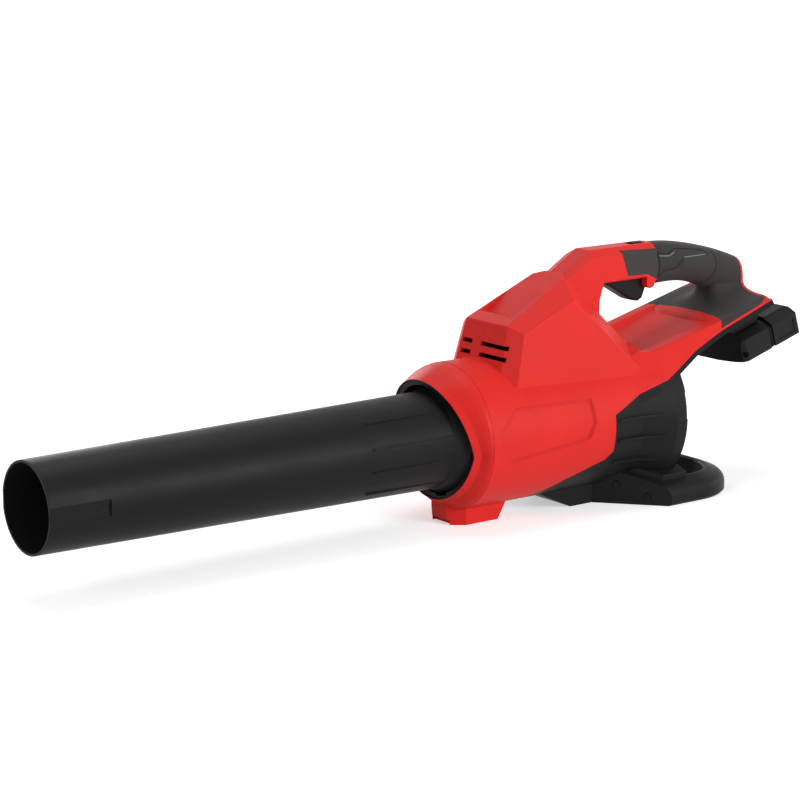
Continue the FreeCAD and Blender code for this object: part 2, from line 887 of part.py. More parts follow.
def body_outline():
    """All housing forms above the base, filled."""
    bell_cut = bell().cut(prism(valley(0), -150, 150))
    bell_cut = trim_sides_above(bell_cut)
    shapes = [barrel(0), front_ring(), bell_cut, rounded_hump(), rounded_tail(), rounded_bar(),
              grip(0), stem(0),
              foot()]
    outline = shapes[0]
    for shape in shapes[1:]:
        outline = outline.fuse(shape)
    return outline


def trim_sides_above(shape):
    """Clip the bell by the tail's side planes where the tail covers it."""
    above = shape.common(upper_prism())
    below = shape.common(lower_prism())
    return convex(above, tail_sides(), 0).fuse(below)


def upper_prism():
    """Everything above the line where the red housing meets the black cowl."""
    return box(350, tail_end + 80, -150, 150, -150, 300).cut(lower_prism())


def shell_hollow():
    """Inner space of the housing and cowl, apart from the air path."""
    skinned = skin_wall + shell_wall
    stem_space = trim(stem(skinned), V(tail_end, 0, tail_end_z + 2), -platform_normal())
    spaces = [hump(shell_wall).cut(scoop(shell_wall)), tail(shell_wall, shell_wall, tail_cavity_end),
              bar(shell_wall), grip(skinned),
              stem_space]
    upper = join(spaces).cut(air_path(shell_wall))
    round_space = Part.makeCylinder(barrel_radius - shell_wall, duct_rear_x - socket_x,
                                    V(socket_x, 0, 0), AXIS_X)
    foot_space = box(foot_x + 6, foot_x + foot_length - 4, -foot_half_width + 4, foot_half_width - 4,
                     -axis_height + foot_web_lift + shell_wall, -65)
    foot_space = foot_space.cut(Part.makeCylinder(200, socket_x + 1 - 300, V(300, 0, 0), AXIS_X))
    bore = Part.makeCylinder(mouth_bore_radius, 100, V(socket_x - 99, 0, 0), AXIS_X)
    return join([upper, round_space, foot_space]).fuse(bore)


def soft_region():
    """Space that the soft grip cover takes: the grip behind the bar and the rear of the platform."""
    near = [(cover_front, 0), (cover_front, -20), (cover_front - 3, -48), (cover_front - 6, -54),
            (cover_front - 10, -62), (cover_front - 17, -70), (cover_front - 17, -100)]
    end = tail_end - cover_rim
    plan = near + [(end, -100), (end, 100)] + [(x, -y) for x, y in reversed(near[1:])]
    rear = plan_prism(plan, 40, 220)
    grip_part = box(bar_end + 0.5, tail_end - cover_rim, -40, 40, 116, 220)
    tongue = Part.makeCylinder(bar_top_half, 40, V(bar_end + 3.5 - bar_top_half, 0, bar_top_z - 15), AXIS_Z)
    return rear.fuse(grip_part).cut(tongue)


def cover_skin(outline):
    """Soft cover over the grip, its stem and the rear of the platform."""
    core = join([grip(skin_wall), stem(skin_wall), tail(skin_wall, 0, tail_end - skin_wall)])
    skin = outline.common(soft_region()).cut(core)
    return skin.cut(lower_prism(cover_lift))


def pad_skin():
    """Thin pads on both sides of the front of the bar."""
    profile = [(706.7, 173.9), (bar_end + 0.5, 172.2), (bar_end + 0.5, 139.0), (744.2, 145.6),
               (716.5, 146.2)]
    block = prism(profile, -40, 40).common(rounded_bar())
    middle = box(690, 770, -pad_inner, pad_inner, 130, 190)
    return block.cut([bar(pad_thick), middle] + hooks(pad_thick))


def vent_cuts():
    """Cooling slots through the front of the hump: long ones near, short ones far."""
    cuts = []
    for i in range(vent_rows):
        low = vent_low_z + i * vent_pitch
        for y0, y1 in (vent_near, vent_far):
            cuts.append(box(hump_front - 16, hump_front + 10, y0, y1, low, low + vent_height))
    return cuts


def side_panel_cut():
    """Shallow six-sided recess in both sides of the barrel."""
    profile = [(500.2, 15.8), (523.8, 37.0), (624.7, 34.0), (626.6, 8.7), (617.2, -7.8), (512.1, -18.4),
               (501.0, -1.8)]
    outline = poly_wire([V(x, -90, z) for x, z in profile])
    steps = []
    for i in range(panel_steps):
        wire = outline.makeOffset2D(-i * panel_bevel / panel_steps, 2) if i else outline
        depth = panel_depth * (i + 1) / panel_steps
        skin = tube_ring(barrel_x, flare_x, barrel_radius + 1, barrel_radius - depth)
        steps.append(Part.Face(wire).extrude(V(0, 180, 0)).common(skin))
    return join(steps)


def housing_bosses(side):
    """Bosses of the housing screws in one half, with the ledges for tray, trigger pin and springs."""
    sign = SIDES[side]
    shapes = []
    for x, z, reach in housing_screw_spots:
        y0, y1 = sorted((0, sign * (reach + 14)))
        shapes.append(rod_y(boss_radius, x, z, y0, y1))
    y0, y1 = sorted((sign * (trigger_half_width + trigger_slot_gap), sign * bar_half_width))
    shapes.append(rod_y(boss_radius + 1, trigger_pivot_x, trigger_pivot_z, y0, y1))
    y0, y1 = sorted((sign * shelf_inner, sign * 70))
    for x in tray_screw_x():
        shapes.append(box(x - shelf_half, x + shelf_half, y0, y1, tray_z - shelf_thick, tray_z))
    y0, y1 = sorted((0, sign * bar_half_width))
    shapes.append(box(button_x - 8, button_x + 8, y0, y1, lock_shelf_z - 2, lock_shelf_z))
    shapes.append(box(spring_x - 7, spring_x + 7, y0, y1, spring_top_z, bar_top_z - 1))
    shapes.append(box(sensor_x, sensor_x + 3, y0, y1, sensor_z + 1.6, bar_top_z - 1))
    return join(shapes)


def tray_screw_x():
    """Places of the tray's screws along x."""
    return [tray_x + 12, tray_x + tray_length - 14]


def housing_screw_cuts():
    """Pilot holes in the near half, clear holes and head seats in the far half."""
    cuts = []
    for x, z, reach in housing_screw_spots:
        cuts.append(rod_y(screw_radius, x, z, -screw_depth, 0))
        cuts.append(rod_y(screw_radius + 0.2, x, z, 0, reach))
        cuts.append(rod_y(screw_head_radius + 0.3, x, z, reach, 120))
    return cuts


def housing_screws():
    """Screws that go through the far half into the near half."""
    screws = []
    for x, z, reach in housing_screw_spots:
        shank = rod_y(screw_radius, x, z, -screw_depth + 1, reach)
        head = rod_y(screw_head_radius, x, z, reach, reach + screw_head_height)
        socket = Part.makeBox(2.2, 1.4, 2.2, V(x - 1.1, reach + screw_head_height - 1.4, z - 1.1))
        screws.append(shank.fuse(head).cut(socket).removeSplitter())
    return Part.makeCompound(screws)


def housing_cuts():
    """Openings in the housing: trigger slot, lock button, vents, panels, scoop and pin hole."""
    slot = trigger_half_width + trigger_slot_gap
    cuts = [box(697, 764, -slot, slot, 112, bar_bottom_z + shell_wall + 4), side_panel_cut(),
            box(button_x - button_length / 2 - seat_gap, button_x + button_length / 2 + seat_gap,
                -button_half_width - seat_gap, button_half_width + seat_gap, bar_top_z - 8, bar_top_z + 5),
            box(button_x - 12, button_x + 11, -button_half_width - 1.6, button_half_width + 1.6,
                bar_top_z - 1.0, bar_top_z + 5),
            rod_y(trigger_pin_radius, trigger_pivot_x, trigger_pivot_z, -pin_half, pin_half)]
    return cuts + vent_cuts() + housing_screw_cuts() + dock_screw_cuts() + tray_screw_cuts()


def tray_screw_cuts():
    """Pilot holes of the tray's screws in the ledges."""
    cuts = []
    for x in tray_screw_x():
        for sign in (-1, 1):
            cuts.append(Part.makeCylinder(tray_screw_radius, shelf_thick + 2,
                                          V(x, sign * tray_screw_y, tray_z - shelf_thick - 1), AXIS_Z))
    return cuts


def housing(side, shell, hollow, cover, pads):
    """One half of the red housing."""
    body = half(shell, side).cut(lower_prism()).cut(half(cover, side)).cut(half(pads, side))
    inner = half(housing_bosses(side).common(hollow).common(upper_prism()), side)
    body = main_solid(body).fuse(inner.Solids)
    return main_solid(body.cut(housing_cuts()))


def main_solid(shape):
    """Largest solid of a shape."""
    return sorted(shape.Solids, key=lambda s: s.Volume)[-1]


def gussets():
    """Fins between the barrel and the flare of the cowl, on both sides."""
    profile = [(655, barrel_radius - 1), (658, barrel_radius + 2.6), (flare_x, barrel_radius + 4.4),
               (716, barrel_radius + 10.4), (716, barrel_radius)]
    fin = Part.Face(poly_wire([V(x, 0, r) for x, r in profile])).extrude(V(0, 3, 0))
    fin.translate(V(0, -1.5, 0))
    fins = []
    for angle in gusset_angles:
        for sign in (-1, 1):
            copy = fin.copy()
            copy.rotate(V(0, 0, 0), AXIS_X, -sign * angle)
            fins.append(copy)
    return fins


def wall_frame(side):
    """Corner, direction along and direction into the slanting front wall of the base."""
    sign = SIDES[side]
    start = V(base_corner_x, sign * (base_front_half - 1), 0)
    end = V(base_wide_x, sign * base_half_width, 0)
    along = (end - start).normalize()
    inward = V(-sign * along.y, sign * along.x, 0)
    if inward.x < 0:
        inward = -inward
    return start, along, inward


def cowl_leg(side):
    """Leg of the cowl that stands in the base and takes two screws."""
    start, along, inward = wall_frame(side)
    inner = start + along * leg_start + inward * (shell_wall + seat_gap)
    plan = [inner, inner + along * leg_length, inner + along * leg_length + inward * leg_thick,
            inner + inward * leg_thick]
    block = plan_prism([(p.x, p.y) for p in plan], -axis_height, 0)
    return block.common(base_space(shell_wall + seat_gap))


def base_screw(side, along_by, up_by, radius, start_in, length):
    """Cylinder on the line of a base screw."""
    start, along, inward = wall_frame(side)
    point = start + along * along_by + inward * start_in + AXIS_Z * (up_by - axis_height)
    return Part.makeCylinder(radius, length, point, inward)


def cowl(side, shell):
    """One half of the black cowl under the housing."""
    body = half(shell, side).common(lower_prism())
    outside = tube_ring(barrel_x, flare_x + 1, 200, barrel_radius - 1)
    leg = cowl_leg(side).common(outside.fuse(box(flare_x, 800, -200, 200, -200, 0)))
    body = body.fuse(leg.cut(bell_core()))
    for fin in gussets():
        body = body.fuse(half(fin, side))
    holes = [base_screw(side, a, u, screw_radius, 0, screw_depth + shell_wall) for a, u in base_screw_spots]
    body = body.cut(holes + dock_screw_cuts())
    return main_solid(body)


def bell_core():
    """Bell shrunk by most of its wall, to keep added pieces out of the air."""
    w = bell_wall - 1
    return revolve([(flare_x - 1, 0), (flare_x - 1, barrel_radius - w), (flare_x, barrel_radius - w),
                    (rim_x, rim_radius - w), (rim_end + 20, rim_radius - w), (rim_end + 20, 0)])


def base_body():
    """Keel, wedge and bumper loop, still filled."""
    body = join([keel(0), rounded_bumper(), base_ledge()])
    return body.cut([barrel(0), bell(), air_path(0)])


def base(body):
    """Keel and wedge under the cowl, hollow inside, with the holes of the base screws."""
    space = join([keel(shell_wall), base_space(shell_wall)])
    body = body.cut(space.cut(rear_wall()))
    body = trim(body, V(bumper_gap_start, 0, 0), AXIS_X)
    for side in SIDES:
        for along_by, up_by in base_screw_spots:
            body = body.cut(base_screw(side, along_by, up_by, screw_radius + 0.2, -5, 20))
            body = body.cut(base_screw(side, along_by, up_by, screw_head_radius + 0.3, -5, 5 + 0.8))
    return main_solid(body)


def bumper_loop(body):
    """Bumper loop behind the wedge, set against its rear face."""
    return main_solid(trim(body, V(bumper_gap_start, 0, 0), -AXIS_X))


def rear_wall():
    """Wall of the base round the air path, kept when it is hollowed."""
    ring = revolve([(rim_x, rim_radius - 1), (rim_x, rim_radius + shell_wall),
                    (bumper_gap_start, rim_radius + shell_wall),
                    (bumper_gap_start, rim_radius - 1)])
    return ring.cut(air_path(0))


def base_screws():
    """Four screws through the slanting walls into the cowl's legs."""
    screws = []
    for side in SIDES:
        for along_by, up_by in base_screw_spots:
            shank = base_screw(side, along_by, up_by, screw_radius, 0.8, screw_depth + shell_wall - 1.2)
            head = base_screw(side, along_by, up_by, screw_head_radius, -screw_head_height + 0.8,
                              screw_head_height)
            mark = base_screw(side, along_by, up_by, 1.3, -screw_head_height + 0.8, 1.2)
            screws.append(shank.fuse(head).cut(mark).removeSplitter())
    return Part.makeCompound(screws)


def side_track(sign):
    """Recess along the side of the tube near its mouth, with a deeper catch pocket."""
    outer = tube_mouth_radius + 20
    floor = tube_mouth_radius - tube_track_depth
    y0, y1 = sorted((sign * floor, sign * outer))
    start = tube_seat_x - tube_length
    shallow = box(start - 1, start + tube_track_length, y0, y1, -tube_track_width / 2, tube_track_width / 2)
    y0, y1 = sorted((sign * (floor - 0.7), sign * outer))
    catch = box(start + tube_track_length - tube_catch_length, start + tube_track_length, y0, y1,
                -tube_catch_width / 2, tube_catch_width / 2)
    return shallow.fuse(catch)


def tube():
    """Nozzle tube with bayonet lugs."""
    start = tube_seat_x - tube_length
    root = tube_root_radius
    flange = tube_flange_radius
    outer = revolve([(start, 0), (start, tube_mouth_radius), (tube_root_x, root),
                     (tube_flange_x - 2, flange - 1),
                     (tube_flange_x, flange), (tube_seat_x, flange), (tube_seat_x, 0)])
    inner = revolve([(start - 1, 0), (start - 1, tube_mouth_radius - tube_wall),
                     (tube_root_x, root - tube_wall),
                     (tube_flange_x, flange - tube_wall - 4), (tube_seat_x + 1, flange - tube_wall - 4),
                     (tube_seat_x + 1, 0)])
    outer = outer.cut([side_track(-1), side_track(1)])
    for angle in tube_ridge_angles:
        ridge = box(tube_root_x - tube_ridge_length, tube_root_x, -tube_ridge_width / 2,
                    tube_ridge_width / 2,
                    root - 4, root + 0.4)
        ridge.rotate(V(0, 0, 0), AXIS_X, -angle)
        outer = outer.fuse(ridge)
    body = outer.cut(inner)
    lug_x = tube_seat_x - tube_lug_setback - tube_lug_length
    for i in range(tube_lug_count):
        lug = lug_block(lug_x, tube_lug_length, flange - 1, flange + tube_lug_height, tube_lug_angle)
        lug.rotate(V(0, 0, 0), AXIS_X, i * 360.0 / tube_lug_count)
        body = body.fuse(lug)
    return body.removeSplitter()


def lug_block(x, length, inner, outer, angle):
    """Part of a ring over some degrees, starting straight up."""
    face = Part.Face(poly_wire([V(x, 0, inner), V(x, 0, outer), V(x + length, 0, outer),
                                V(x + length, 0, inner)]))
    return face.revolve(V(0, 0, 0), AXIS_X, angle)


def tube_socket():
    """Socket with bayonet groove, behind the mouth ring."""
    bore = tube_flange_radius + tube_clearance
    neck = mouth_bore_radius - seat_gap
    groove = tube_flange_radius + tube_lug_height + 0.5
    lug_x = tube_seat_x - tube_lug_setback - tube_lug_length
    body = revolve([(440, bore), (440, neck), (socket_x, neck), (socket_x, socket_flange_radius),
                    (socket_end_x, socket_flange_radius), (socket_end_x, bore)])
    body = body.cut(tube_ring(lug_x - seat_gap, lug_x + tube_lug_length + seat_gap, groove, bore - 1))
    for i in range(tube_lug_count):
        entry = lug_block(430, lug_x - 430 + 1, bore - 1, groove, tube_lug_angle + 2)
        entry.rotate(V(0, 0, 0), AXIS_X, i * 360.0 / tube_lug_count + tube_twist - 1)
        body = body.cut(entry)
    back = mouth_kink_x + socket_set_back
    for lean, up in ((mouth_lean_up, 1), (mouth_lean_down, -1)):
        angle = math.radians(lean)
        normal = V(-math.cos(angle), 0, -up * math.sin(angle))
        body = cut_beyond(body, V(back, 0, mouth_kink_z), normal, up)
    return main_solid(body)


def cut_beyond(shape, point, normal, up):
    """Cut by a plane only above (up = 1) or below (up = -1) the height of its point."""
    upper = box(300, 700, -200, 200, point.z, 300)
    lower = box(300, 700, -200, 200, -300, point.z)
    keep, other = (upper, lower) if up > 0 else (lower, upper)
    return trim(shape.common(keep), point, normal).fuse(shape.common(other))


def tube_seal():
    """Soft ring between the tube and the duct."""
    outer = tube_flange_radius - 0.3
    return tube_ring(tube_seat_x + seat_gap, socket_end_x, outer, outer - 5.5)


def fan_duct(side):
    """Near or far half of the duct round the motor and the fan."""
    flange = socket_flange_radius
    front = tube_flange_radius - 7.0
    mouth = barrel_radius - bell_wall - 0.2
    wall = duct_wall
    outer = [(socket_end_x, flange), (socket_end_x + 3, flange), (socket_end_x + 3, front + wall + 6),
             (duct_cone_end, duct_radius + wall), (duct_bell_x, duct_radius + wall),
             (duct_rear_x - 4, flange - 3), (duct_rear_x - 4, flange), (duct_rear_x, flange)]
    inner = [(duct_rear_x, mouth), (duct_bell_x, duct_radius), (duct_cone_end, duct_radius),
             (socket_end_x, front)]
    return revolve(outer + inner, -180 * SIDES[side])


def motor_cup():
    """Motor cup in the middle of the duct, on guide vanes."""
    cup = tube_ring(cup_x, cup_x + cup_length, cup_radius, cup_radius - cup_wall)
    plate = tube_ring(cup_x, cup_x + 3, cup_radius, 6.0)
    seat = tube_ring(cup_x, cup_x + 3 + bearing_width, bearing_radius + 3, bearing_radius + fit_gap)
    body = cup.fuse([plate, seat])
    for i in range(vane_count):
        body = body.fuse(vane(i * 360.0 / vane_count + 10))
    spots = [V(0, r * math.cos(a), r * math.sin(a)) for r, a in end_plate_screw_spots()]
    ears = []
    for spot in spots:
        ears.append(Part.makeCylinder(ear_radius, ear_length,
                                      V(end_plate_x - ear_length, spot.y, spot.z), AXIS_X))
    inside = Part.makeCylinder(cup_radius - 0.5, cup_length, V(cup_x, 0, 0), AXIS_X)
    body = body.fuse([ear.common(inside) for ear in ears])
    body = body.cut([Part.makeCylinder(1.0, ear_length, V(end_plate_x - ear_length + 1, s.y, s.z),
                                       AXIS_X) for s in spots])
    return body.removeSplitter()


def end_plate_screw_spots():
    """Radius and angle of the three screws of the motor end plate."""
    return [(cup_radius - cup_wall - 1.8, math.radians(60 + 120 * i)) for i in range(3)]


def vane(turn):
    """Guide vane between motor cup and duct, twisted along the air."""
    wires = []
    for radius, lean in ((cup_radius - 1.0, 24.0), (duct_radius + 1.0, 16.0)):
        a = math.radians(lean)
        half_length = vane_length / 2
        along = V(math.cos(a), math.sin(a), 0)
        across = V(-math.sin(a), math.cos(a), 0) * (vane_thick / 2)
        middle = V(cup_x + 40, 0, radius)
        ends = [middle - along * half_length - across, middle + along * half_length - across,
                middle + along * half_length + across, middle - along * half_length + across]
        wires.append(poly_wire(ends))
    body = loft(wires, True)
    body.rotate(V(0, 0, 0), AXIS_X, turn)
    shell = tube_ring(cup_x - 20, cup_x + 90, duct_radius - fit_gap, cup_radius - 0.8)
    return body.common(shell)


def isolator(x):
    """Rubber ring that seats the duct in the housing."""
    return tube_ring(x, x + isolator_width, barrel_radius - shell_wall, duct_radius + duct_wall)


def outlet_cone():
    """Cone that closes the front of the motor cup."""
    tip = cup_x - cone_length
    outer = revolve([(tip, 0), (tip + 2, 6), (tip + 20, 22), (tip + 40, 32), (cup_x, cup_radius),
                     (cup_x, 0)])
    inner = revolve([(tip + 4, 0), (tip + 8, 6), (tip + 22, 19.5), (tip + 40, 29.5),
                     (cup_x + 1, cup_radius - cup_wall),
                     (cup_x + 1, 0)])
    return outer.cut(inner)


def end_plate():
    """Rear plate of the motor with the seat of the rear bearing."""
    outer = cup_radius - cup_wall - fit_gap
    seat = bearing_radius + fit_gap
    body = revolve([(end_plate_x, seat + 3), (end_plate_x, outer), (end_plate_x + 3, outer),
                    (end_plate_x + 3, seat + 3), (end_plate_x + 3 + bearing_width, seat + 3),
                    (end_plate_x + 3 + bearing_width, shaft_radius + 2),
                    (end_plate_x + 1 + bearing_width, shaft_radius + 2),
                    (end_plate_x + 1 + bearing_width, seat), (end_plate_x, seat)])
    holes = []
    for radius, angle in end_plate_screw_spots():
        holes.append(Part.makeCylinder(1.2, 10, V(end_plate_x - 3, radius * math.cos(angle),
                                                  radius * math.sin(angle)),
                                       AXIS_X))
    for i in range(6):
        a = math.radians(60 * i + 30)
        holes.append(Part.makeCylinder(3.4, 10, V(end_plate_x - 3, 21.5 * math.cos(a),
                                                  21.5 * math.sin(a)), AXIS_X))
    return body.cut(holes)


def motor_screws():
    """Three screws of the motor end plate."""
    screws = []
    for radius, angle in end_plate_screw_spots():
        point = V(end_plate_x - 5, radius * math.cos(angle), radius * math.sin(angle))
        shank = Part.makeCylinder(1.0, 8, point, AXIS_X)
        head = Part.makeCylinder(2.0, 1.6, point + AXIS_X * 8, AXIS_X)
        screws.append(shank.fuse(head))
    return Part.makeCompound(screws)


def stator_core():
    """Laminated ring with teeth."""
    body = tube_ring(stator_x, stator_x + stator_length, stator_radius, stator_radius - 4)
    bore = Part.makeCylinder(stator_bore, 200, V(stator_x - 50, 0, 0), AXIS_X)
    limit = Part.makeCylinder(stator_radius - 2, stator_length, V(stator_x, 0, 0), AXIS_X)
    for i in range(stator_slots):
        tooth = box(stator_x, stator_x + stator_length, -tooth_half, tooth_half, stator_bore - 1,
                    stator_radius - 2)
        shoe = box(stator_x, stator_x + stator_length, -5.2, 5.2, stator_bore - 1, stator_bore + 2)
        tooth = tooth.fuse(shoe).common(limit)
        tooth.rotate(V(0, 0, 0), AXIS_X, i * 360.0 / stator_slots)
        body = body.fuse(tooth)
    return body.cut(bore).removeSplitter()


def stator_coils():
    """Nine coils round the teeth."""
    coils = []
    low = stator_bore + 2.2
    high = stator_radius - 4.4
    for i in range(stator_slots):
        loop = box(stator_x - 4, stator_x + stator_length + 4, -tooth_half - 2.6, tooth_half + 2.6,
                   low, high)
        loop = loop.makeFillet(2.0, [e for e in loop.Edges
                                     if abs(e.BoundBox.ZLength - (high - low)) < 0.01])
        loop = loop.cut(box(stator_x - 0.1, stator_x + stator_length + 0.1, -tooth_half - 0.1,
                            tooth_half + 0.1,
                            low - 1, high + 1))
        loop.rotate(V(0, 0, 0), AXIS_X, i * 360.0 / stator_slots)
        coils.append(loop)
    return Part.makeCompound(coils)


def rotor_core():
    """Steel core on the shaft."""
    return tube_ring(stator_x + 1, stator_x + stator_length - 1, rotor_radius, shaft_radius)


def rotor_magnets():
    """Six magnets on the core."""
    magnets = []
    for i in range(magnet_count):
        magnet = lug_block(stator_x + 1, stator_length - 2, rotor_radius, rotor_radius + magnet_thick,
                           360.0 / magnet_count - 5)
        magnet.rotate(V(0, 0, 0), AXIS_X, i * 360.0 / magnet_count)
        magnets.append(magnet)
    return Part.makeCompound(magnets)


def motor_shaft():
    """Shaft of motor and fan."""
    return Part.makeCylinder(shaft_radius, shaft_length, V(shaft_front_x, 0, 0), AXIS_X)


def bearing(x):
    """Ball bearing, drawn as one ring with shields set back."""
    ring = tube_ring(x, x + bearing_width, bearing_radius, shaft_radius + fit_gap)
    for start in (x - 1, x + bearing_width - 0.5):
        ring = ring.cut(tube_ring(start, start + 1.5, bearing_radius - 2, shaft_radius + 2))
    return ring


def fan():
    """Fan with twisted blades on a hub."""
    hub = revolve([(fan_x, shaft_radius), (fan_x, fan_hub_radius),
                   (fan_x + fan_hub_length - 6, fan_hub_radius),
                   (fan_x + fan_hub_length, fan_hub_radius - 8), (fan_x + fan_hub_length, shaft_radius)])
    pocket = tube_ring(fan_x - 1, fan_x + fan_hub_length - 9, fan_hub_radius - 3, 9.0)
    body = hub.cut(pocket)
    limit = Part.makeCylinder(duct_radius - running_gap, fan_hub_length, V(fan_x, 0, 0), AXIS_X)
    blades = []
    for i in range(fan_blade_count):
        blade = fan_blade().common(limit)
        blade.rotate(V(0, 0, 0), AXIS_X, i * 360.0 / fan_blade_count)
        blades.append(blade)
    return body.fuse(blades).removeSplitter()


def fan_blade():
    """Blade that turns from steep at the hub to flat at its tip."""
    wires = []
    for radius, lean in ((fan_hub_radius - 2.0, 38.0), (duct_radius + 1, 62.0)):
        a = math.radians(lean)
        half_chord = fan_blade_chord / 2
        along = V(math.cos(a), -math.sin(a), 0)
        across = V(math.sin(a), math.cos(a), 0) * (fan_blade_thick / 2)
        middle = V(fan_x + fan_hub_length / 2 - 2, 0, radius)
        wires.append(poly_wire([middle - along * half_chord - across, middle + along * half_chord - across,
                                middle + along * half_chord + across, middle - along * half_chord
                                + across]))
    return loft(wires, True)


def fan_washer():
    """Washer under the fan nut."""
    x = fan_x + fan_hub_length
    return tube_ring(x, x + washer_thick, 9.0, shaft_radius + fit_gap)


def fan_nut():
    """Hexagon nut on the shaft end."""
    x = fan_x + fan_hub_length + washer_thick
    corner = nut_across / math.sqrt(3)
    points = [V(x, corner * math.cos(math.radians(60 * i)),
                corner * math.sin(math.radians(60 * i))) for i in range(6)]
    body = Part.Face(poly_wire(points)).extrude(V(nut_height, 0, 0))
    return body.cut(Part.makeCylinder(shaft_radius, 20, V(x - 5, 0, 0), AXIS_X))


def intake_guard():
    """Grille across the intake: upright slats, and level bars welded to their rear edges."""
    room = air_path(-seat_gap)
    bars = []
    count = int((rim_radius - bell_wall - 5) / guard_pitch)
    for i in range(-count, count + 1):
        y = i * guard_pitch
        slat = box(guard_x, guard_x + guard_slat_depth, y - guard_slat_width / 2, y
                   + guard_slat_width / 2, -120, 120)
        bars.append(slat.common(room))
    back = guard_x + guard_slat_depth
    for level in guard_bar_levels:
        bar_low = level - guard_bar_height / 2
        bars.append(box(back, back + guard_bar_depth, -120, 120, bar_low, bar_low
                        + guard_bar_height).common(room))
    return Part.makeCompound([main_solid(piece) for piece in bars])


def trigger():
    """Trigger that swings about the pin in the front of the bar."""
    side = [(699, 158.5), (697.8, 141), (700.2, 135.7), (729.6, 118.7), (734.2, 116.6), (740.7, 115.5),
            (746.1, 118.4),
            (749.5, 126.3), (752, 134), (751, 143), (734, 146), (728, 153.0), (712, 158.5)]
    body = prism(side, -trigger_half_width, trigger_half_width)
    edges = [e for e in body.Edges if e.BoundBox.YLength < 0.01 and e.BoundBox.ZMax < 136]
    body = body.makeFillet(2.2, edges)
    pocket = prism([(707, 152), (742, 140), (742, 134), (707, 140)], -trigger_half_width + 2.4,
                   trigger_half_width - 2.4)
    pin = rod_y(trigger_pin_radius + fit_gap, trigger_pivot_x, trigger_pivot_z, -30, 30)
    seat = Part.makeCylinder(spring_radius + 0.6, 10, V(spring_x, 0, trigger_top_z()), AXIS_Z)
    magnet = Part.makeCylinder(magnet_radius + fit_gap, 10, V(magnet_x, 0, magnet_z), AXIS_Z)
    return body.cut([pocket, pin, seat, magnet])


def trigger_top_z():
    """Floor of the spring's seat in the trigger."""
    return 150.5


def trigger_pin():
    """Pin that the trigger swings on."""
    return rod_y(trigger_pin_radius, trigger_pivot_x, trigger_pivot_z, -pin_half, pin_half)


def trigger_magnet():
    """Magnet in the trigger that the sensor reads."""
    return Part.makeCylinder(magnet_radius, magnet_length, V(magnet_x, 0, magnet_z), AXIS_Z)


def coil_spring(x, z0, z1, radius, wire, turns):
    """Compression spring with a round wire, standing on z0 and reaching to z1."""
    middle = radius - wire / 2
    rise = (z1 - z0 - wire) / turns

    def point(turn):
        angle = 2 * math.pi * turn
        return V(x + middle * math.cos(angle), middle * math.sin(angle), z0 + wire / 2 + rise * turn)

    arcs = []
    for i in range(int(turns * 4)):
        arcs.append(Part.Arc(point(i / 4.0), point((i + 0.5) / 4.0), point((i + 1) / 4.0)).toShape())
    ring = Part.Wire(Part.makeCircle(wire / 2, point(0), AXIS_Y))
    return Part.Wire(arcs).makePipeShell([ring], True, False)


def trigger_spring():
    """Spring between trigger and bar."""
    return coil_spring(spring_x, trigger_top_z(), spring_top_z, spring_radius, spring_wire, 6)


def lock_button():
    """Lock button on top of the bar, with its foot in the bar."""
    top = bar_top_z + button_rise
    head = box(button_x - button_length / 2, button_x + button_length / 2, -button_half_width,
               button_half_width,
               lock_foot_z, top)
    head = head.makeFillet(1.0, [e for e in head.Edges if e.BoundBox.ZMin > top - 0.1])
    foot_plate = box(button_x - button_length / 2 - 2, button_x + button_length / 2 + 2,
                     -button_half_width - 2,
                     button_half_width + 2, lock_foot_z, lock_foot_z + 1.6)
    return head.fuse(foot_plate).cut(Part.makeCylinder(3.0, 2.0, V(button_x, 0, lock_foot_z - 1), AXIS_Z))


def lock_spring():
    """Spring under the lock button."""
    return coil_spring(button_x, lock_shelf_z, lock_foot_z + 1.0, 2.7, 0.6, 4)


def sensor_board():
    """Small board over the trigger's magnet."""
    board = box(sensor_x, sensor_x + sensor_length + 3, -8, 8, sensor_z, sensor_z + 1.6)
    chip = box(magnet_x - 2, magnet_x + 2, -2, 2, sensor_z - 1.4, sensor_z)
    return board.fuse(chip)


def tray():
    """Open tray of the electronics."""
    outer = box(tray_x, tray_x + tray_length, -tray_half_width, tray_half_width, tray_z, tray_z
                + tray_height)
    inner = box(tray_x + tray_wall, tray_x + tray_length - tray_wall, -tray_half_width + tray_wall,
                tray_half_width - tray_wall, tray_z + tray_wall, tray_z + tray_height + 1)
    posts = []
    holes = []
    for x in tray_screw_x():
        for sign in (-1, 1):
            posts.append(Part.makeCylinder(3.4, board_lift, V(x, sign * tray_screw_y, tray_z + 0.5),
                                           AXIS_Z))
            holes.append(Part.makeCylinder(1.4, 40, V(x, sign * tray_screw_y, tray_z - 5), AXIS_Z))
    return outer.cut(inner).fuse(posts).cut(holes).removeSplitter()


def board_z():
    """Underside of the control board."""
    return tray_z + 0.5 + board_lift


def control_board():
    """Board with its connector and chips."""
    reach = tray_half_width - tray_wall - 0.4
    board = box(tray_x + tray_wall + 0.4, tray_x + tray_length - tray_wall - 0.4, -reach, reach, board_z(),
                board_z() + board_thick)
    top = board_z() + board_thick
    parts = [box(tray_x + 64, tray_x + 74, -14, 14, top, top + 6),
             box(tray_x + 50, tray_x + 58, 8, 16, top, top + 1.5),
             box(tray_x + 50, tray_x + 60, -20, -8, top, top + 2)]
    holes = []
    for x in tray_screw_x():
        for sign in (-1, 1):
            holes.append(Part.makeCylinder(1.4, 20, V(x, sign * tray_screw_y, board_z() - 5), AXIS_Z))
    return join([board] + parts).cut(holes)


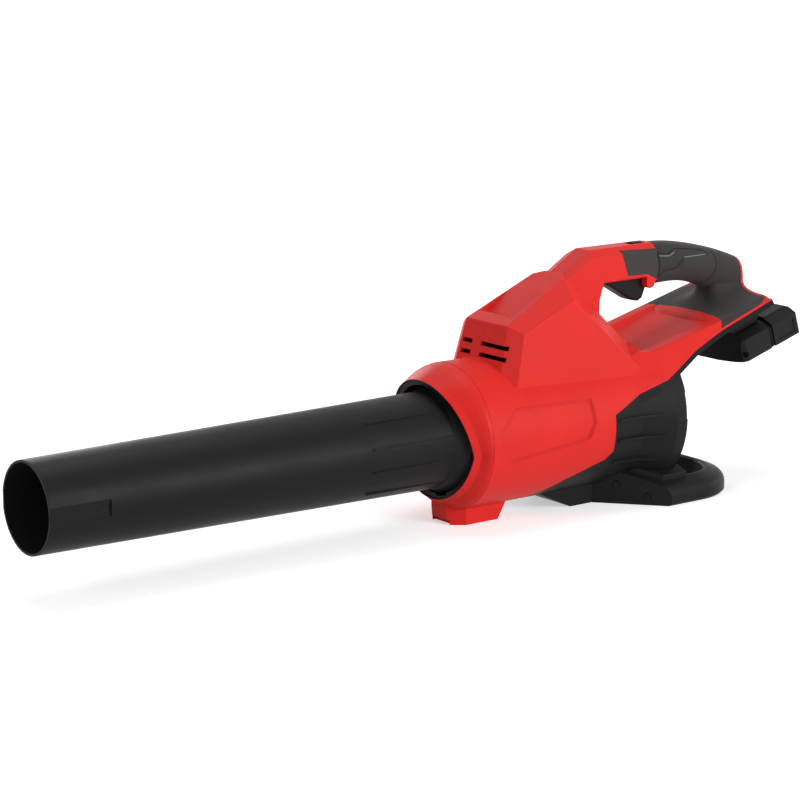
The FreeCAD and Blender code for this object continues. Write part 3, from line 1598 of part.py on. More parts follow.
def tray_screws():
    """Screws that hold board and tray on the ledges of the housing."""
    screws = []
    top = board_z() + board_thick
    for x in tray_screw_x():
        for sign in (-1, 1):
            shank = Part.makeCylinder(tray_screw_radius, top - tray_z + shelf_thick,
                                      V(x, sign * tray_screw_y, tray_z - shelf_thick),
                                      AXIS_Z)
            head = Part.makeCylinder(2.4, 1.6, V(x, sign * tray_screw_y, top), AXIS_Z)
            screws.append(shank.fuse(head))
    return Part.makeCompound(screws)


def heat_sink():
    """Finned heat sink on the board."""
    top = board_z() + board_thick
    body = box(tray_x + 22, tray_x + 46, -26, 26, top, top + 4)
    fins = [box(tray_x + 22, tray_x + 46, -26 + i * 5.0, -24.4 + i * 5.0, top + 3, top + 14)
            for i in range(11)]
    return join([body] + fins)


def capacitors():
    """Two capacitors on the board."""
    top = board_z() + board_thick
    spots = [V(can_x, y, top + can_gap) for y in can_places]
    return Part.makeCompound([Part.makeCylinder(can_radius, can_length, spot, AXIS_Z) for spot in spots])


def dock_place(shape):
    """Tilt a piece drawn in the dock's own frame and move it under the tail."""
    shape.Placement = FreeCAD.Placement(V(dock_x, 0, dock_z), FreeCAD.Rotation(AXIS_Y, -dock_tilt))
    return shape


def dock_point(u, w):
    """Point (x, z) of the dock's frame."""
    a = math.radians(dock_tilt)
    return dock_x + u * math.cos(a) - w * math.sin(a), dock_z + u * math.sin(a) + w * math.cos(a)


def dock_screw_spots():
    """Places of the dock's four screws in its own frame."""
    return [(u, v) for u in (16.0, 33.0) for v in (-20.0, 20.0)]


def dock_section(u0, u1, grow):
    """Length of the dock with chamfered top edges, in its own frame."""
    half_width = dock_half_width + grow
    w = dock_height + grow
    neck = dock_neck_half + grow
    face = Part.Face(poly_wire([V(u0, -half_width, 0), V(u0, half_width, 0),
                                V(u0, half_width, w - dock_edge),
                                V(u0, neck, w), V(u0, -neck, w), V(u0, -half_width, w - dock_edge)]))
    return face.extrude(V(u1 - u0, 0, 0))


def dock_slab():
    """Filled dock: a front that leans back with rounded corners, a groove and a fuller rear."""
    lean = dock_nose_top + dock_nose
    plan = [(-dock_nose, 30), (-dock_nose + 3, 53), (3, 62.5), (8, dock_half_width)]
    plan = [(u, -y) for u, y in plan] + [(dock_length, -90), (dock_length, 90)] + plan[::-1]
    body = dock_section(-dock_nose, dock_step_u - dock_groove_width, 0)
    body = body.common(plan_prism(plan, -1, 50))
    body = trim(body, V(-dock_nose, 0, 0), V(-dock_height, 0, lean).normalize())
    waist = dock_section(dock_step_u - dock_groove_width - 1, dock_step_u + 1, -2.2)
    rear = dock_section(dock_step_u, dock_length, 0)
    rib_v = dock_step_u - dock_groove_width / 2
    rib = dock_section(rib_v - 0.7, rib_v + 0.7, -1.2)
    plate = box(dock_step_u + 1, dock_length - 3, -dock_neck_half + 2, dock_neck_half - 2, dock_height - 1,
                dock_height + 1.6)
    plate = plate.makeFillet(1.2, [e for e in plate.Edges if e.BoundBox.ZMin > dock_height + 1])
    return body.fuse([waist, rib, rear, plate])


def battery_dock():
    """Dock with two receivers, open to the rear, and a neck up to the tail."""
    w = dock_height
    slab = dock_slab()
    cuts = []
    for sign in (-1, 1):
        y = sign * receiver_offset
        half_w = receiver_width / 2
        cuts.append(box(receiver_start, dock_length + 1, y - half_w, y + half_w, rail_thick,
                        receiver_depth))
        cuts.append(box(receiver_start, dock_length + 1, y - half_w + rail_lip, y + half_w - rail_lip, -1,
                        receiver_depth))
        side = sorted((sign * (dock_half_width - 0.8), sign * (dock_half_width + 1)))
        cuts.append(box(dock_step_u + 5, dock_length - 5, side[0], side[1], 4.5, w - dock_edge - 5))
        pocket = Part.makeCylinder(3.4, 9, V(2.5, sign * 67, 8.5), V(0.8, -sign * 0.6, 0))
        cuts.append(pocket)
    slab = dock_place(slab.cut(cuts))
    under = [(x, z - tail_band) for x, z in tail_low_edge]
    low = [p for p in under if p[0] <= neck_front][-1]
    high = [p for p in under if p[0] > neck_front][0]
    first_z = low[1] + (high[1] - low[1]) * (neck_front - low[0]) / (high[0] - low[0])
    points = [(neck_front, first_z)] + [p for p in under if p[0] > neck_front]
    points += [dock_point(42.0, w - 3), dock_point(12.0, w - 3)]
    neck = prism(points, -neck_half, neck_half)
    body = slab.fuse(neck)
    for u, v in dock_screw_spots():
        shank = Part.makeCylinder(screw_radius + 0.2, 60, V(u, v, receiver_depth - 1), AXIS_Z)
        head = Part.makeCylinder(screw_head_radius + 0.3, screw_head_height + 1.5,
                                 V(u, v, receiver_depth - 1), AXIS_Z)
        body = body.cut([dock_place(shank), dock_place(head)])
    return body.removeSplitter()


def dock_screws():
    """Four screws from the receivers up into the tail."""
    screws = []
    for u, v in dock_screw_spots():
        seat = dock_seat_w
        length = dock_screw_length(u)
        shank = Part.makeCylinder(screw_radius, length, V(u, v, seat), AXIS_Z)
        head = Part.makeCylinder(screw_head_radius, screw_head_height,
                                 V(u, v, seat - screw_head_height), AXIS_Z)
        screws.append(dock_place(shank.fuse(head)))
    return Part.makeCompound(screws)


def dock_screw_cuts():
    """Pilot holes of the dock's screws in the tail."""
    cuts = []
    for u, v in dock_screw_spots():
        cuts.append(dock_place(Part.makeCylinder(screw_radius, dock_screw_length(u) + 0.5,
                                                 V(u, v, dock_seat_w), AXIS_Z)))
    return cuts


def dock_screw_length(u):
    """Length that brings a screw into the solid part of the tail."""
    for length in range(5, 60):
        x, z = dock_point(u, dock_seat_w + length)
        if z > platform_z(x) - 3.4:
            return float(length)
    return 20.0


def terminal_block(side):
    """Block that carries the blades of one receiver."""
    y = SIDES[side] * receiver_offset
    body = box(receiver_start, receiver_start + block_length, y - 18, y + 18, rail_thick + 1,
               receiver_depth)
    return dock_place(body)


def terminal_blades(side):
    """Metal blades of one receiver."""
    y = SIDES[side] * receiver_offset
    start = receiver_start + block_length
    blades = []
    for i in range(blade_count):
        middle = y + (i - (blade_count - 1) / 2) * blade_pitch
        blades.append(dock_place(box(start, start + 16, middle - blade_thick / 2, middle + blade_thick / 2,
                                     5.0, 12.0)))
    return Part.makeCompound(blades)


def place_all(shape):
    """Bring a piece from the fan axis to the part's own frame."""
    moved = shape.copy()
    rear, _ = dock_point(dock_length, 0)
    shape_mid = (tube_seat_x - tube_length + rear) / 2
    moved.translate(V(-shape_mid, 0, axis_height))
    return moved


def build():
    """All pieces by node name."""
    outline = body_outline()
    hollow = shell_hollow()
    shell = outline.cut(air_path(0)).cut(under_tail()).cut(hollow)
    cover = cover_skin(outline)
    pads = pad_skin()
    pieces = {}
    for side in SIDES:
        pieces["housing_" + side] = housing(side, shell, hollow, cover, pads)
        pieces["cowl_" + side] = cowl(side, shell)
        cut_cover = half(cover, side).cut(housing_screw_cuts())
        pieces["grip_cover_" + side] = main_solid(cut_cover)
        pieces["front_pad_" + side] = main_solid(half(pads, side))
        pieces["terminal_block_" + side] = terminal_block(side)
        pieces["terminal_blades_" + side] = terminal_blades(side)
        pieces["fan_duct_" + side] = fan_duct(side)
    low_body = base_body()
    pieces["base"] = base(low_body)
    pieces["bumper"] = bumper_loop(low_body)
    makers = [("nozzle_tube", tube), ("tube_socket", tube_socket), ("tube_seal", tube_seal),
              ("motor_cup", motor_cup), ("outlet_cone", outlet_cone), ("motor_end_plate", end_plate),
              ("stator_core", stator_core), ("stator_coils", stator_coils), ("rotor_core", rotor_core),
              ("rotor_magnets", rotor_magnets), ("motor_shaft", motor_shaft), ("fan", fan),
              ("fan_washer", fan_washer), ("fan_nut", fan_nut), ("intake_guard", intake_guard),
              ("trigger", trigger), ("trigger_pin", trigger_pin), ("trigger_spring", trigger_spring),
              ("trigger_magnet", trigger_magnet), ("sensor_board", sensor_board),
              ("lock_button", lock_button),
              ("lock_spring", lock_spring), ("electronics_tray", tray), ("control_board", control_board),
              ("heat_sink", heat_sink), ("capacitors", capacitors), ("battery_dock", battery_dock),
              ("housing_screws", housing_screws), ("base_screws", base_screws),
              ("dock_screws", dock_screws),
              ("motor_screws", motor_screws), ("tray_screws", tray_screws)]
    for name, maker in makers:
        pieces[name] = maker()
    pieces["duct_ring_front"] = isolator(isolator_front_x)
    pieces["duct_ring_rear"] = isolator(isolator_rear_x)
    pieces["bearing_front"] = bearing(cup_x + 3)
    pieces["bearing_rear"] = bearing(end_plate_x + 1)
    return pieces


os.makedirs("parts", exist_ok=True)
for node, shape in build().items():
    place_all(shape).exportStep("parts/" + node + ".step")
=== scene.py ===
"""Looks of a handheld battery leaf blower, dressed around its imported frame."""

import json
import logging
import math
from dataclasses import dataclass, field
from enum import Enum
from typing import ClassVar

import bpy
from mathutils import Matrix, Vector
from mathutils.bvhtree import BVHTree

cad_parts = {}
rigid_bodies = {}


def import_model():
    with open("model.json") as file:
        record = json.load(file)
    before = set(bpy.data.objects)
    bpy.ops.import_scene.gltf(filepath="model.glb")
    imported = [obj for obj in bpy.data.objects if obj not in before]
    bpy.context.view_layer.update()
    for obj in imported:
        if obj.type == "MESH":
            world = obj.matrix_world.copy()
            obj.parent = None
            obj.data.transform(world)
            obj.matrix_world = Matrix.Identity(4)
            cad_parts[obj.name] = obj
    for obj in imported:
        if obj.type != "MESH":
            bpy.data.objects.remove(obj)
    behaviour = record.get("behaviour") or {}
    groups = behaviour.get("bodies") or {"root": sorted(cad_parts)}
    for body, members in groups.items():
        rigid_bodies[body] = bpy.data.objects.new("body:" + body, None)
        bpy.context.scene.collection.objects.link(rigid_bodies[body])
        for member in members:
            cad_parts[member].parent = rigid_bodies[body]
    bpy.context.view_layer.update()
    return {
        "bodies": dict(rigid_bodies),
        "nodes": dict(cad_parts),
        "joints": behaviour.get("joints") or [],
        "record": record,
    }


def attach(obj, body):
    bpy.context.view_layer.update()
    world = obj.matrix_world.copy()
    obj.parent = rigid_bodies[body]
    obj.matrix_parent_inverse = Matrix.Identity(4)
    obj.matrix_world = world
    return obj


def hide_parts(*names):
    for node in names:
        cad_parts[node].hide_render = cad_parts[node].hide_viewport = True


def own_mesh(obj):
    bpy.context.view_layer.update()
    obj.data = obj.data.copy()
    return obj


LOG = logging.getLogger("leaf_blower")

Colour = tuple[float, float, float, float]
Place = tuple[float, float, float]
Socket = bpy.types.NodeSocket
Materials = dict[str, bpy.types.Material]

WHITE: Colour = (1.0, 1.0, 1.0, 1.0)
FULL_TURN = 2 * math.pi
BEVEL_SAMPLES = 6


def linear(red: int, green: int, blue: int) -> Colour:
    """Turn a display colour into the linear colour that a shader takes.

    Args:
        red: Red from 0 to 255.
        green: Green from 0 to 255.
        blue: Blue from 0 to 255.

    Returns:
        The colour in linear values with full opacity.
    """
    values = []
    for part in (red, green, blue):
        share = part / 255.0
        # The two branches are the standard display curve.
        values.append(share / 12.92 if share <= 0.04045 else ((share + 0.055) / 1.055) ** 2.4)
    return values[0], values[1], values[2], 1.0


BLACK = linear(25, 25, 26)


class Side(Enum):
    """The two halves of the blower."""

    LEFT = "left"
    RIGHT = "right"


@dataclass
class NodeTree:
    """Short hand for adding and joining shader nodes.

    Attributes:
        tree: The node tree that the nodes go into.
    """

    tree: bpy.types.NodeTree

    def add(self, kind: str, **values: object) -> bpy.types.Node:
        """Add a node and set its properties.

        Args:
            kind: Blender's name of the node type.
            values: Properties of the node by name.

        Returns:
            The new node.
        """
        node = self.tree.nodes.new(kind)
        for name, value in values.items():
            setattr(node, name, value)
        return node

    def join(self, source: Socket, target: Socket) -> None:
        """Link one socket to another."""
        self.tree.links.new(source, target)

    def feed(self, node: bpy.types.Node, **values: Socket | float | Colour | Place) -> bpy.types.Node:
        """Join sockets to a node's inputs, or set the inputs to plain values.

        Args:
            node: The node.
            values: Sockets or values by the input's name, with underscores for spaces.

        Returns:
            The same node.
        """
        for label, value in values.items():
            target = node.inputs[label.replace("_", " ")]
            if isinstance(value, Socket):
                self.join(value, target)
            else:
                target.default_value = value
        return node

    def place(self, stretch: Place | None = None, turn: Place = (0.0, 0.0, 0.0)) -> Socket:
        """Give the place on the piece, stretched and turned where that is wanted.

        Args:
            stretch: Scale along the three axes, or None for the plain place.
            turn: Turn about the three axes, in radians.

        Returns:
            The socket with the place.
        """
        plain = self.add("ShaderNodeTexCoord").outputs["Object"]
        if stretch is None:
            return plain
        mapped = self.feed(self.add("ShaderNodeMapping"), Scale=stretch, Rotation=turn, Vector=plain)
        return mapped.outputs["Vector"]

    def noise(self, vector: Socket, scale: Socket | float, detail: float) -> Socket:
        """Add a noise texture.

        Args:
            vector: Where the texture is read.
            scale: Features for each metre.
            detail: Octaves of the noise.

        Returns:
            The socket with the noise.
        """
        node = self.add("ShaderNodeTexNoise")
        return self.feed(node, Scale=scale, Detail=detail, Vector=vector).outputs["Fac"]

    def ramp(self, source: Socket, given: tuple[float, float], wanted: tuple[float, float]) -> Socket:
        """Map a value from one range to another, clamped.

        Args:
            source: The value.
            given: Values that give the two results.
            wanted: The two results.

        Returns:
            The socket with the result.
        """
        node = self.feed(self.add("ShaderNodeMapRange"), From_Min=given[0], From_Max=given[1],
                         To_Min=wanted[0], To_Max=wanted[1], Value=source)
        return node.outputs["Result"]

    def maths(self, operation: str, first: Socket, second: Socket | float = 0.0,
              clamp: bool = False) -> Socket:
        """Add a math node.

        Args:
            operation: Blender's name of the operation.
            first: First value.
            second: Second value or socket, where the operation takes one.
            clamp: Whether the result stays from 0 to 1.

        Returns:
            The socket with the result.
        """
        node = self.add("ShaderNodeMath", operation=operation, use_clamp=clamp)
        self.join(first, node.inputs[0])
        if isinstance(second, Socket):
            self.join(second, node.inputs[1])
        else:
            node.inputs[1].default_value = second
        return node.outputs["Value"]

    def group(self, group: bpy.types.NodeTree, **values: float) -> bpy.types.Node:
        """Place a shared effect.

        Args:
            group: The shared effect.
            values: Input values by name, with underscores for spaces.

        Returns:
            The group node.
        """
        return self.feed(self.add("ShaderNodeGroup", node_tree=group), **values)

    def relief(self, shader: bpy.types.Node, height: Socket, depth: float, strength: float,
               edge: float = 0.0) -> None:
        """Raise the surface by a height, over edges rounded by a small radius.

        Args:
            shader: The shader node.
            height: Height from 0 to 1.
            depth: Relief at height 1, in metres.
            strength: Strength of the bump.
            edge: Radius of the rounded edges, in metres.
        """
        bump = self.feed(self.add("ShaderNodeBump"), Distance=depth, Strength=strength, Height=height)
        if edge > 0:
            soft = self.feed(self.add("ShaderNodeBevel", samples=BEVEL_SAMPLES), Radius=edge)
            self.join(soft.outputs["Normal"], bump.inputs["Normal"])
        self.join(bump.outputs["Normal"], shader.inputs["Normal"])


class EffectLibrary:
    """Shader groups that several finishes share, each built once.

    Attributes:
        GRAIN_DETAIL: Octaves of the fine grain.
        CLOUD_DETAIL: Octaves of the slow change of tone.
        SCRATCH_STRETCH: Stretch of the noise that gives the hair scratches.
        SCRATCH_TURN: Turn of that noise, in radians.
        SCRATCH_NOISE: Its features for each metre before the stretch, and its octaves.
        SCRATCH_RANGE: Its values between which a scratch rises.
        WORN_NOISE: Worn patches for each metre, and octaves of their noise.
        WORN_RANGE: Values of that noise between which a patch rises.
        MESH_EDGE: How fast the mesh rises at the edge of its zone, for each metre.
    """

    GRAIN_DETAIL: ClassVar[float] = 2.0
    CLOUD_DETAIL: ClassVar[float] = 3.0
    SCRATCH_STRETCH: ClassVar[Place] = (9.0, 160.0, 120.0)
    SCRATCH_TURN: ClassVar[Place] = (0.3, 0.5, 0.2)
    SCRATCH_NOISE: ClassVar[tuple[float, float]] = (6.0, 5.0)
    SCRATCH_RANGE: ClassVar[tuple[float, float]] = (0.66, 0.74)
    WORN_NOISE: ClassVar[tuple[float, float]] = (14.0, 2.0)
    WORN_RANGE: ClassVar[tuple[float, float]] = (0.52, 0.68)
    MESH_EDGE: ClassVar[float] = 1500.0

    def __init__(self) -> None:
        """Start with no group built."""
        self.groups: dict[str, bpy.types.NodeTree] = {}

    def _start(self, name: str, inputs: dict[str, float],
               outputs: tuple[str, ...]) -> tuple[NodeTree, dict, dict]:
        """Make an empty group with float sockets.

        Args:
            name: Name of the group.
            inputs: Input names with their defaults.
            outputs: Output names.

        Returns:
            The tree helper, the input sockets by name and the output sockets by name.
        """
        group = bpy.data.node_groups.new(name, "ShaderNodeTree")
        for label, default in inputs.items():
            socket = group.interface.new_socket(label, in_out="INPUT", socket_type="NodeSocketFloat")
            socket.default_value = default
        for label in outputs:
            group.interface.new_socket(label, in_out="OUTPUT", socket_type="NodeSocketFloat")
        tree = NodeTree(group)
        source = tree.add("NodeGroupInput")
        target = tree.add("NodeGroupOutput")
        self.groups[name] = group
        return tree, source.outputs, target.inputs

    def moulded_grain(self) -> bpy.types.NodeTree:
        """Fine spark-eroded grain of moulded plastic: its height, and a slow change of tone."""
        name = "moulded_grain"
        if name not in self.groups:
            wanted = {"Scale": 1400.0, "Cloud Scale": 18.0}
            tree, given, result = self._start(name, wanted, ("Height", "Cloud"))
            place = tree.place()
            fine = tree.noise(place, given["Scale"], self.GRAIN_DETAIL)
            cells = tree.feed(tree.add("ShaderNodeTexVoronoi", feature="SMOOTH_F1"),
                              Vector=place, Scale=given["Scale"])
            mixed = tree.maths("ADD", fine, cells.outputs["Distance"])
            tree.join(tree.maths("MULTIPLY", mixed, 0.5), result["Height"])
            tree.join(tree.noise(place, given["Cloud Scale"], self.CLOUD_DETAIL), result["Cloud"])
        return self.groups[name]

    def handling_marks(self) -> bpy.types.NodeTree:
        """Sparse hair scratches within worn patches, as one mask."""
        name = "handling_marks"
        if name not in self.groups:
            tree, given, result = self._start(name, {"Amount": 0.5}, ("Mask",))
            lines = tree.noise(tree.place(self.SCRATCH_STRETCH, self.SCRATCH_TURN), *self.SCRATCH_NOISE)
            thin = tree.ramp(lines, self.SCRATCH_RANGE, (0.0, 1.0))
            worn = tree.ramp(tree.noise(tree.place(), *self.WORN_NOISE), self.WORN_RANGE, (0.0, 1.0))
            marks = tree.maths("MULTIPLY", thin, worn)
            tree.join(tree.maths("MULTIPLY", marks, given["Amount"]), result["Mask"])
        return self.groups[name]

    def mesh_zone(self) -> bpy.types.NodeTree:
        """Fine diamond mesh moulded into the sides within a block of space: its height."""
        name = "mesh_zone"
        if name not in self.groups:
            wanted = {"Low X": 0.0, "High X": 1.0, "Low Z": 0.0, "High Z": 1.0, "Least Y": 0.0,
                      "Pitch": 0.0015}
            tree, given, result = self._start(name, wanted, ("Height",))
            split = tree.feed(tree.add("ShaderNodeSeparateXYZ"), Vector=tree.place())
            along, across, high = (split.outputs[axis] for axis in "XYZ")
            away = tree.maths("ABSOLUTE", across)
            bounds = ((along, given["Low X"]), (given["High X"], along), (high, given["Low Z"]),
                      (given["High Z"], high), (away, given["Least Y"]))
            height = None
            for more, less in bounds:
                edge = tree.maths("MULTIPLY", tree.maths("SUBTRACT", more, less), self.MESH_EDGE, clamp=True)
                height = edge if height is None else tree.maths("MULTIPLY", height, edge)
            waves = []
            for operation in ("ADD", "SUBTRACT"):
                turn = tree.maths("MULTIPLY", tree.maths(operation, along, high), FULL_TURN)
                waves.append(tree.maths("SINE", tree.maths("DIVIDE", turn, given["Pitch"])))
            raised = tree.maths("ADD", tree.maths("MULTIPLY", waves[0], waves[1]), 1.0)
            tree.join(tree.maths("MULTIPLY", raised, height), result["Height"])
        return self.groups[name]


EFFECTS = EffectLibrary()


@dataclass(frozen=True)
class MeshZone:
    """A block of space in which the sides have a fine mesh.

    Attributes:
        along: Where it starts and ends along X, in metres.
        high: Where it starts and ends along Z, in metres.
        least: Least distance from the middle plane, in metres.
        pitch: Step of the mesh, in metres.
    """

    along: tuple[float, float]
    high: tuple[float, float]
    least: float = 0.0
    pitch: float = 0.0021


@dataclass(frozen=True)
class Finish:
    """A surface finish with its own colour, gloss and relief.

    Attributes:
        MID_NOISE: Values of a noise between which the roughness changes.
        TONES: Brightness of the colour where a mask is 0 and where it is 1.
        GLOSS: How far the roughness falls and rises with a noise.
        BUMP: Strength of the relief.
        name: Name of the material.
        colour: Linear colour.
        roughness: Mean roughness.
    """

    MID_NOISE: ClassVar[tuple[float, float]] = (0.3, 0.7)
    TONES: ClassVar[tuple[float, float]] = (1.0, 1.0)
    GLOSS: ClassVar[tuple[float, float]] = (0.0, 0.0)
    BUMP: ClassVar[float] = 0.5

    name: str
    colour: Colour
    roughness: float

    def build(self) -> bpy.types.Material:
        """Build the material."""
        material = bpy.data.materials.new(self.name)
        material.use_nodes = True
        tree = NodeTree(material.node_tree)
        shader = material.node_tree.nodes["Principled BSDF"]
        tree.feed(shader, Base_Color=self.colour, Roughness=self.roughness)
        self.detail(tree, shader)
        return material

    def detail(self, tree: NodeTree, shader: bpy.types.Node) -> None:
        """Leave the surface plain; each kind of finish adds its own detail here."""

    def tint(self, tree: NodeTree, shader: bpy.types.Node, mask: Socket) -> None:
        """Let the colour's brightness change with a mask.

        Args:
            tree: The material's tree helper.
            shader: The shader node.
            mask: Mask from 0 to 1.
        """
        dark, light = (tuple(min(1.0, part * tone) for part in self.colour[:3]) + (1.0,)
                       for tone in self.TONES)
        mix = tree.feed(tree.add("ShaderNodeMix", data_type="RGBA"), A=dark, B=light, Factor=mask)
        tree.join(mix.outputs["Result"], shader.inputs["Base Color"])

    def gloss(self, tree: NodeTree, mask: Socket) -> Socket:
        """Let the roughness change with a noise.

        Args:
            tree: The material's tree helper.
            mask: The noise.

        Returns:
            The socket with the roughness.
        """
        less, more = self.GLOSS
        return tree.ramp(mask, self.MID_NOISE, (self.roughness - less, self.roughness + more))

    def meshed(self, tree: NodeTree, height: Socket, zones: tuple[MeshZone, ...], share: float) -> Socket:
        """Add the fine mesh of some zones to a height.

        Args:
            tree: The material's tree helper.
            height: The height so far.
            zones: The zones.
            share: Height of the mesh beside that of the grain.

        Returns:
            The height with the mesh on it.
        """
        for zone in zones:
            mesh = tree.group(EFFECTS.mesh_zone(), Low_X=zone.along[0], High_X=zone.along[1],
                              Low_Z=zone.high[0], High_Z=zone.high[1], Least_Y=zone.least, Pitch=zone.pitch)
            height = tree.maths("ADD", height, tree.maths("MULTIPLY", mesh.outputs["Height"], share))
        return height


@dataclass(frozen=True)
class MouldedPlastic(Finish):
    """Injection-moulded plastic with spark grain, soft edges and faint handling marks.

    Attributes:
        CLOUDS: Patches of tone for each metre.
        RUBBED: How much smoother a mark is.
        MESH_HEIGHT: Height of the mesh beside that of the grain.
        grain: Grains for each metre.
        depth: Height of the grain in metres.
        edge: Radius of the moulded edges in metres.
        marks: Amount of scratches.
        mirror: Specular level of the surface.
        zones: Where it has a fine mesh.
    """

    TONES: ClassVar[tuple[float, float]] = (0.93, 1.12)
    GLOSS: ClassVar[tuple[float, float]] = (0.05, 0.06)
    BUMP: ClassVar[float] = 0.6
    CLOUDS: ClassVar[float] = 16.0
    RUBBED: ClassVar[float] = 0.12
    MESH_HEIGHT: ClassVar[float] = 3.0

    grain: float = 1500.0
    depth: float = 0.00004
    edge: float = 0.0007
    marks: float = 0.35
    mirror: float = 0.09
    zones: tuple[MeshZone, ...] = ()

    def detail(self, tree: NodeTree, shader: bpy.types.Node) -> None:
        """Add grain, tone, marks and mesh."""
        tree.feed(shader, Specular_IOR_Level=self.mirror)
        grain = tree.group(EFFECTS.moulded_grain(), Scale=self.grain, Cloud_Scale=self.CLOUDS)
        marks = tree.group(EFFECTS.handling_marks(), Amount=self.marks)
        self.tint(tree, shader, grain.outputs["Cloud"])
        rubbed = tree.maths("MULTIPLY", marks.outputs["Mask"], self.RUBBED)
        rough = tree.maths("SUBTRACT", self.gloss(tree, grain.outputs["Cloud"]), rubbed)
        tree.join(rough, shader.inputs["Roughness"])
        height = self.meshed(tree, grain.outputs["Height"], self.zones, self.MESH_HEIGHT)
        tree.relief(shader, height, self.depth, self.BUMP, self.edge)


@dataclass(frozen=True)
class SoftRubber(Finish):
    """Matt overmoulded rubber with a pebbled skin.

    Attributes:
        CLOUDS: Patches of tone for each metre.
        MIRROR: Specular level of the surface.
        SHEEN_ROUGHNESS: Roughness of the soft sheen.
        MESH_LIGHT_AND_SHADE: How much the mesh lightens its ridges and darkens its grooves, as painted light
            and shade.
        MESH_HEIGHT: Height of the mesh beside that of the pebbles.
        EDGE: Radius of the moulded edges in metres.
        pebble: Pebbles for each metre.
        depth: Height of the pebbles in metres.
        sheen: Weight of the soft sheen.
        zones: Where it has a fine mesh.
    """

    TONES: ClassVar[tuple[float, float]] = (0.8, 1.25)
    GLOSS: ClassVar[tuple[float, float]] = (0.06, 0.05)
    BUMP: ClassVar[float] = 0.8
    CLOUDS: ClassVar[float] = 26.0
    MIRROR: ClassVar[float] = 0.07
    SHEEN_ROUGHNESS: ClassVar[float] = 0.5
    MESH_LIGHT_AND_SHADE: ClassVar[float] = 0.45
    MESH_HEIGHT: ClassVar[float] = 2.0
    EDGE: ClassVar[float] = 0.0006

    pebble: float = 900.0
    depth: float = 0.00008
    sheen: float = 0.06
    zones: tuple[MeshZone, ...] = ()

    def detail(self, tree: NodeTree, shader: bpy.types.Node) -> None:
        """Add pebbles, tone, mesh and sheen; within the mesh the colour is lighter on the ridges and darker
        in the grooves, as painted light and shade.
        """
        tree.feed(shader, Specular_IOR_Level=self.MIRROR, Sheen_Weight=self.sheen,
                  Sheen_Roughness=self.SHEEN_ROUGHNESS)
        grain = tree.group(EFFECTS.moulded_grain(), Scale=self.pebble, Cloud_Scale=self.CLOUDS)
        # The mesh's height also goes into the colour: painted highlight on its ridges and painted shade in
        # its grooves.
        tone = self.meshed(tree, grain.outputs["Cloud"], self.zones, self.MESH_LIGHT_AND_SHADE)
        self.tint(tree, shader, tone)
        tree.join(self.gloss(tree, grain.outputs["Cloud"]), shader.inputs["Roughness"])
        height = self.meshed(tree, grain.outputs["Height"], self.zones, self.MESH_HEIGHT)
        tree.relief(shader, height, self.depth, self.BUMP, self.EDGE)


@dataclass(frozen=True)
class BareMetal(Finish):
    """Turned, cast or plated metal.

    Attributes:
        STRETCH: Stretch of the noise that gives the lines.
        DETAIL: Octaves of that noise.
        EDGE: Radius of the edges in metres.
        brushing: Lines for each metre, along the piece's length.
        depth: Depth of the lines in metres.
    """

    TONES: ClassVar[tuple[float, float]] = (0.82, 1.14)
    GLOSS: ClassVar[tuple[float, float]] = (0.07, 0.09)
    STRETCH: ClassVar[Place] = (1.0, 0.12, 0.12)
    DETAIL: ClassVar[float] = 3.0
    EDGE: ClassVar[float] = 0.0003

    brushing: float = 700.0
    depth: float = 0.00002

    def detail(self, tree: NodeTree, shader: bpy.types.Node) -> None:
        """Add the lines of the metal."""
        tree.feed(shader, Metallic=1.0)
        lines = tree.noise(tree.place(self.STRETCH), self.brushing, self.DETAIL)
        self.tint(tree, shader, lines)
        tree.join(self.gloss(tree, lines), shader.inputs["Roughness"])
        tree.relief(shader, lines, self.depth, self.BUMP, self.EDGE)


@dataclass(frozen=True)
class Winding(Finish):
    """Lacquered copper wire wound side by side.

    Attributes:
        pitch: Wires for each metre.
        depth: Height of a wire in metres.
        lacquer: Weight of the lacquer.
    """

    TONES: ClassVar[tuple[float, float]] = (0.55, 1.1)
    BUMP: ClassVar[float] = 0.8

    pitch: float = 1100.0
    depth: float = 0.0003
    lacquer: float = 0.6

    def detail(self, tree: NodeTree, shader: bpy.types.Node) -> None:
        """Add the wires and their lacquer, with painted shade in the gaps between the wires."""
        tree.feed(shader, Metallic=1.0, Coat_Weight=self.lacquer)
        wire = tree.feed(tree.add("ShaderNodeTexWave", wave_type="BANDS", bands_direction="X"),
                         Scale=self.pitch, Vector=tree.place())
        # The colour darkens where the wires dip, as painted shade in the gaps between them.
        self.tint(tree, shader, wire.outputs["Fac"])
        tree.relief(shader, wire.outputs["Fac"], self.depth, self.BUMP)


@dataclass(frozen=True)
class CircuitBoard(Finish):
    """Green lacquered board with fine tracks.

    Attributes:
        pitch: Tracks for each metre.
        offset: Share of a track by which its neighbour is set off.
        gap: Share of the pitch that lies between the tracks.
        depth: Height of a track in metres.
        lacquer: Weight of the lacquer.
    """

    TONES: ClassVar[tuple[float, float]] = (1.0, 1.7)

    pitch: float = 140.0
    offset: float = 0.5
    gap: float = 0.05
    depth: float = 0.00005
    lacquer: float = 0.4

    def detail(self, tree: NodeTree, shader: bpy.types.Node) -> None:
        """Add the tracks and their lacquer."""
        tree.feed(shader, Coat_Weight=self.lacquer)
        tracks = tree.feed(tree.add("ShaderNodeTexBrick", offset=self.offset),
                           Scale=self.pitch, Mortar_Size=self.gap, Vector=tree.place())
        self.tint(tree, shader, tracks.outputs["Fac"])
        tree.relief(shader, tracks.outputs["Fac"], self.depth, self.BUMP)


GRIP_MESH = (MeshZone((0.2985, 0.3330), (0.2, 0.2368)), MeshZone((0.3330, 0.3770), (0.2, 0.2488)))
TUBE_MESH = (MeshZone((-0.0946, 0.0242), (0.0815, 0.1010), least=0.03),)

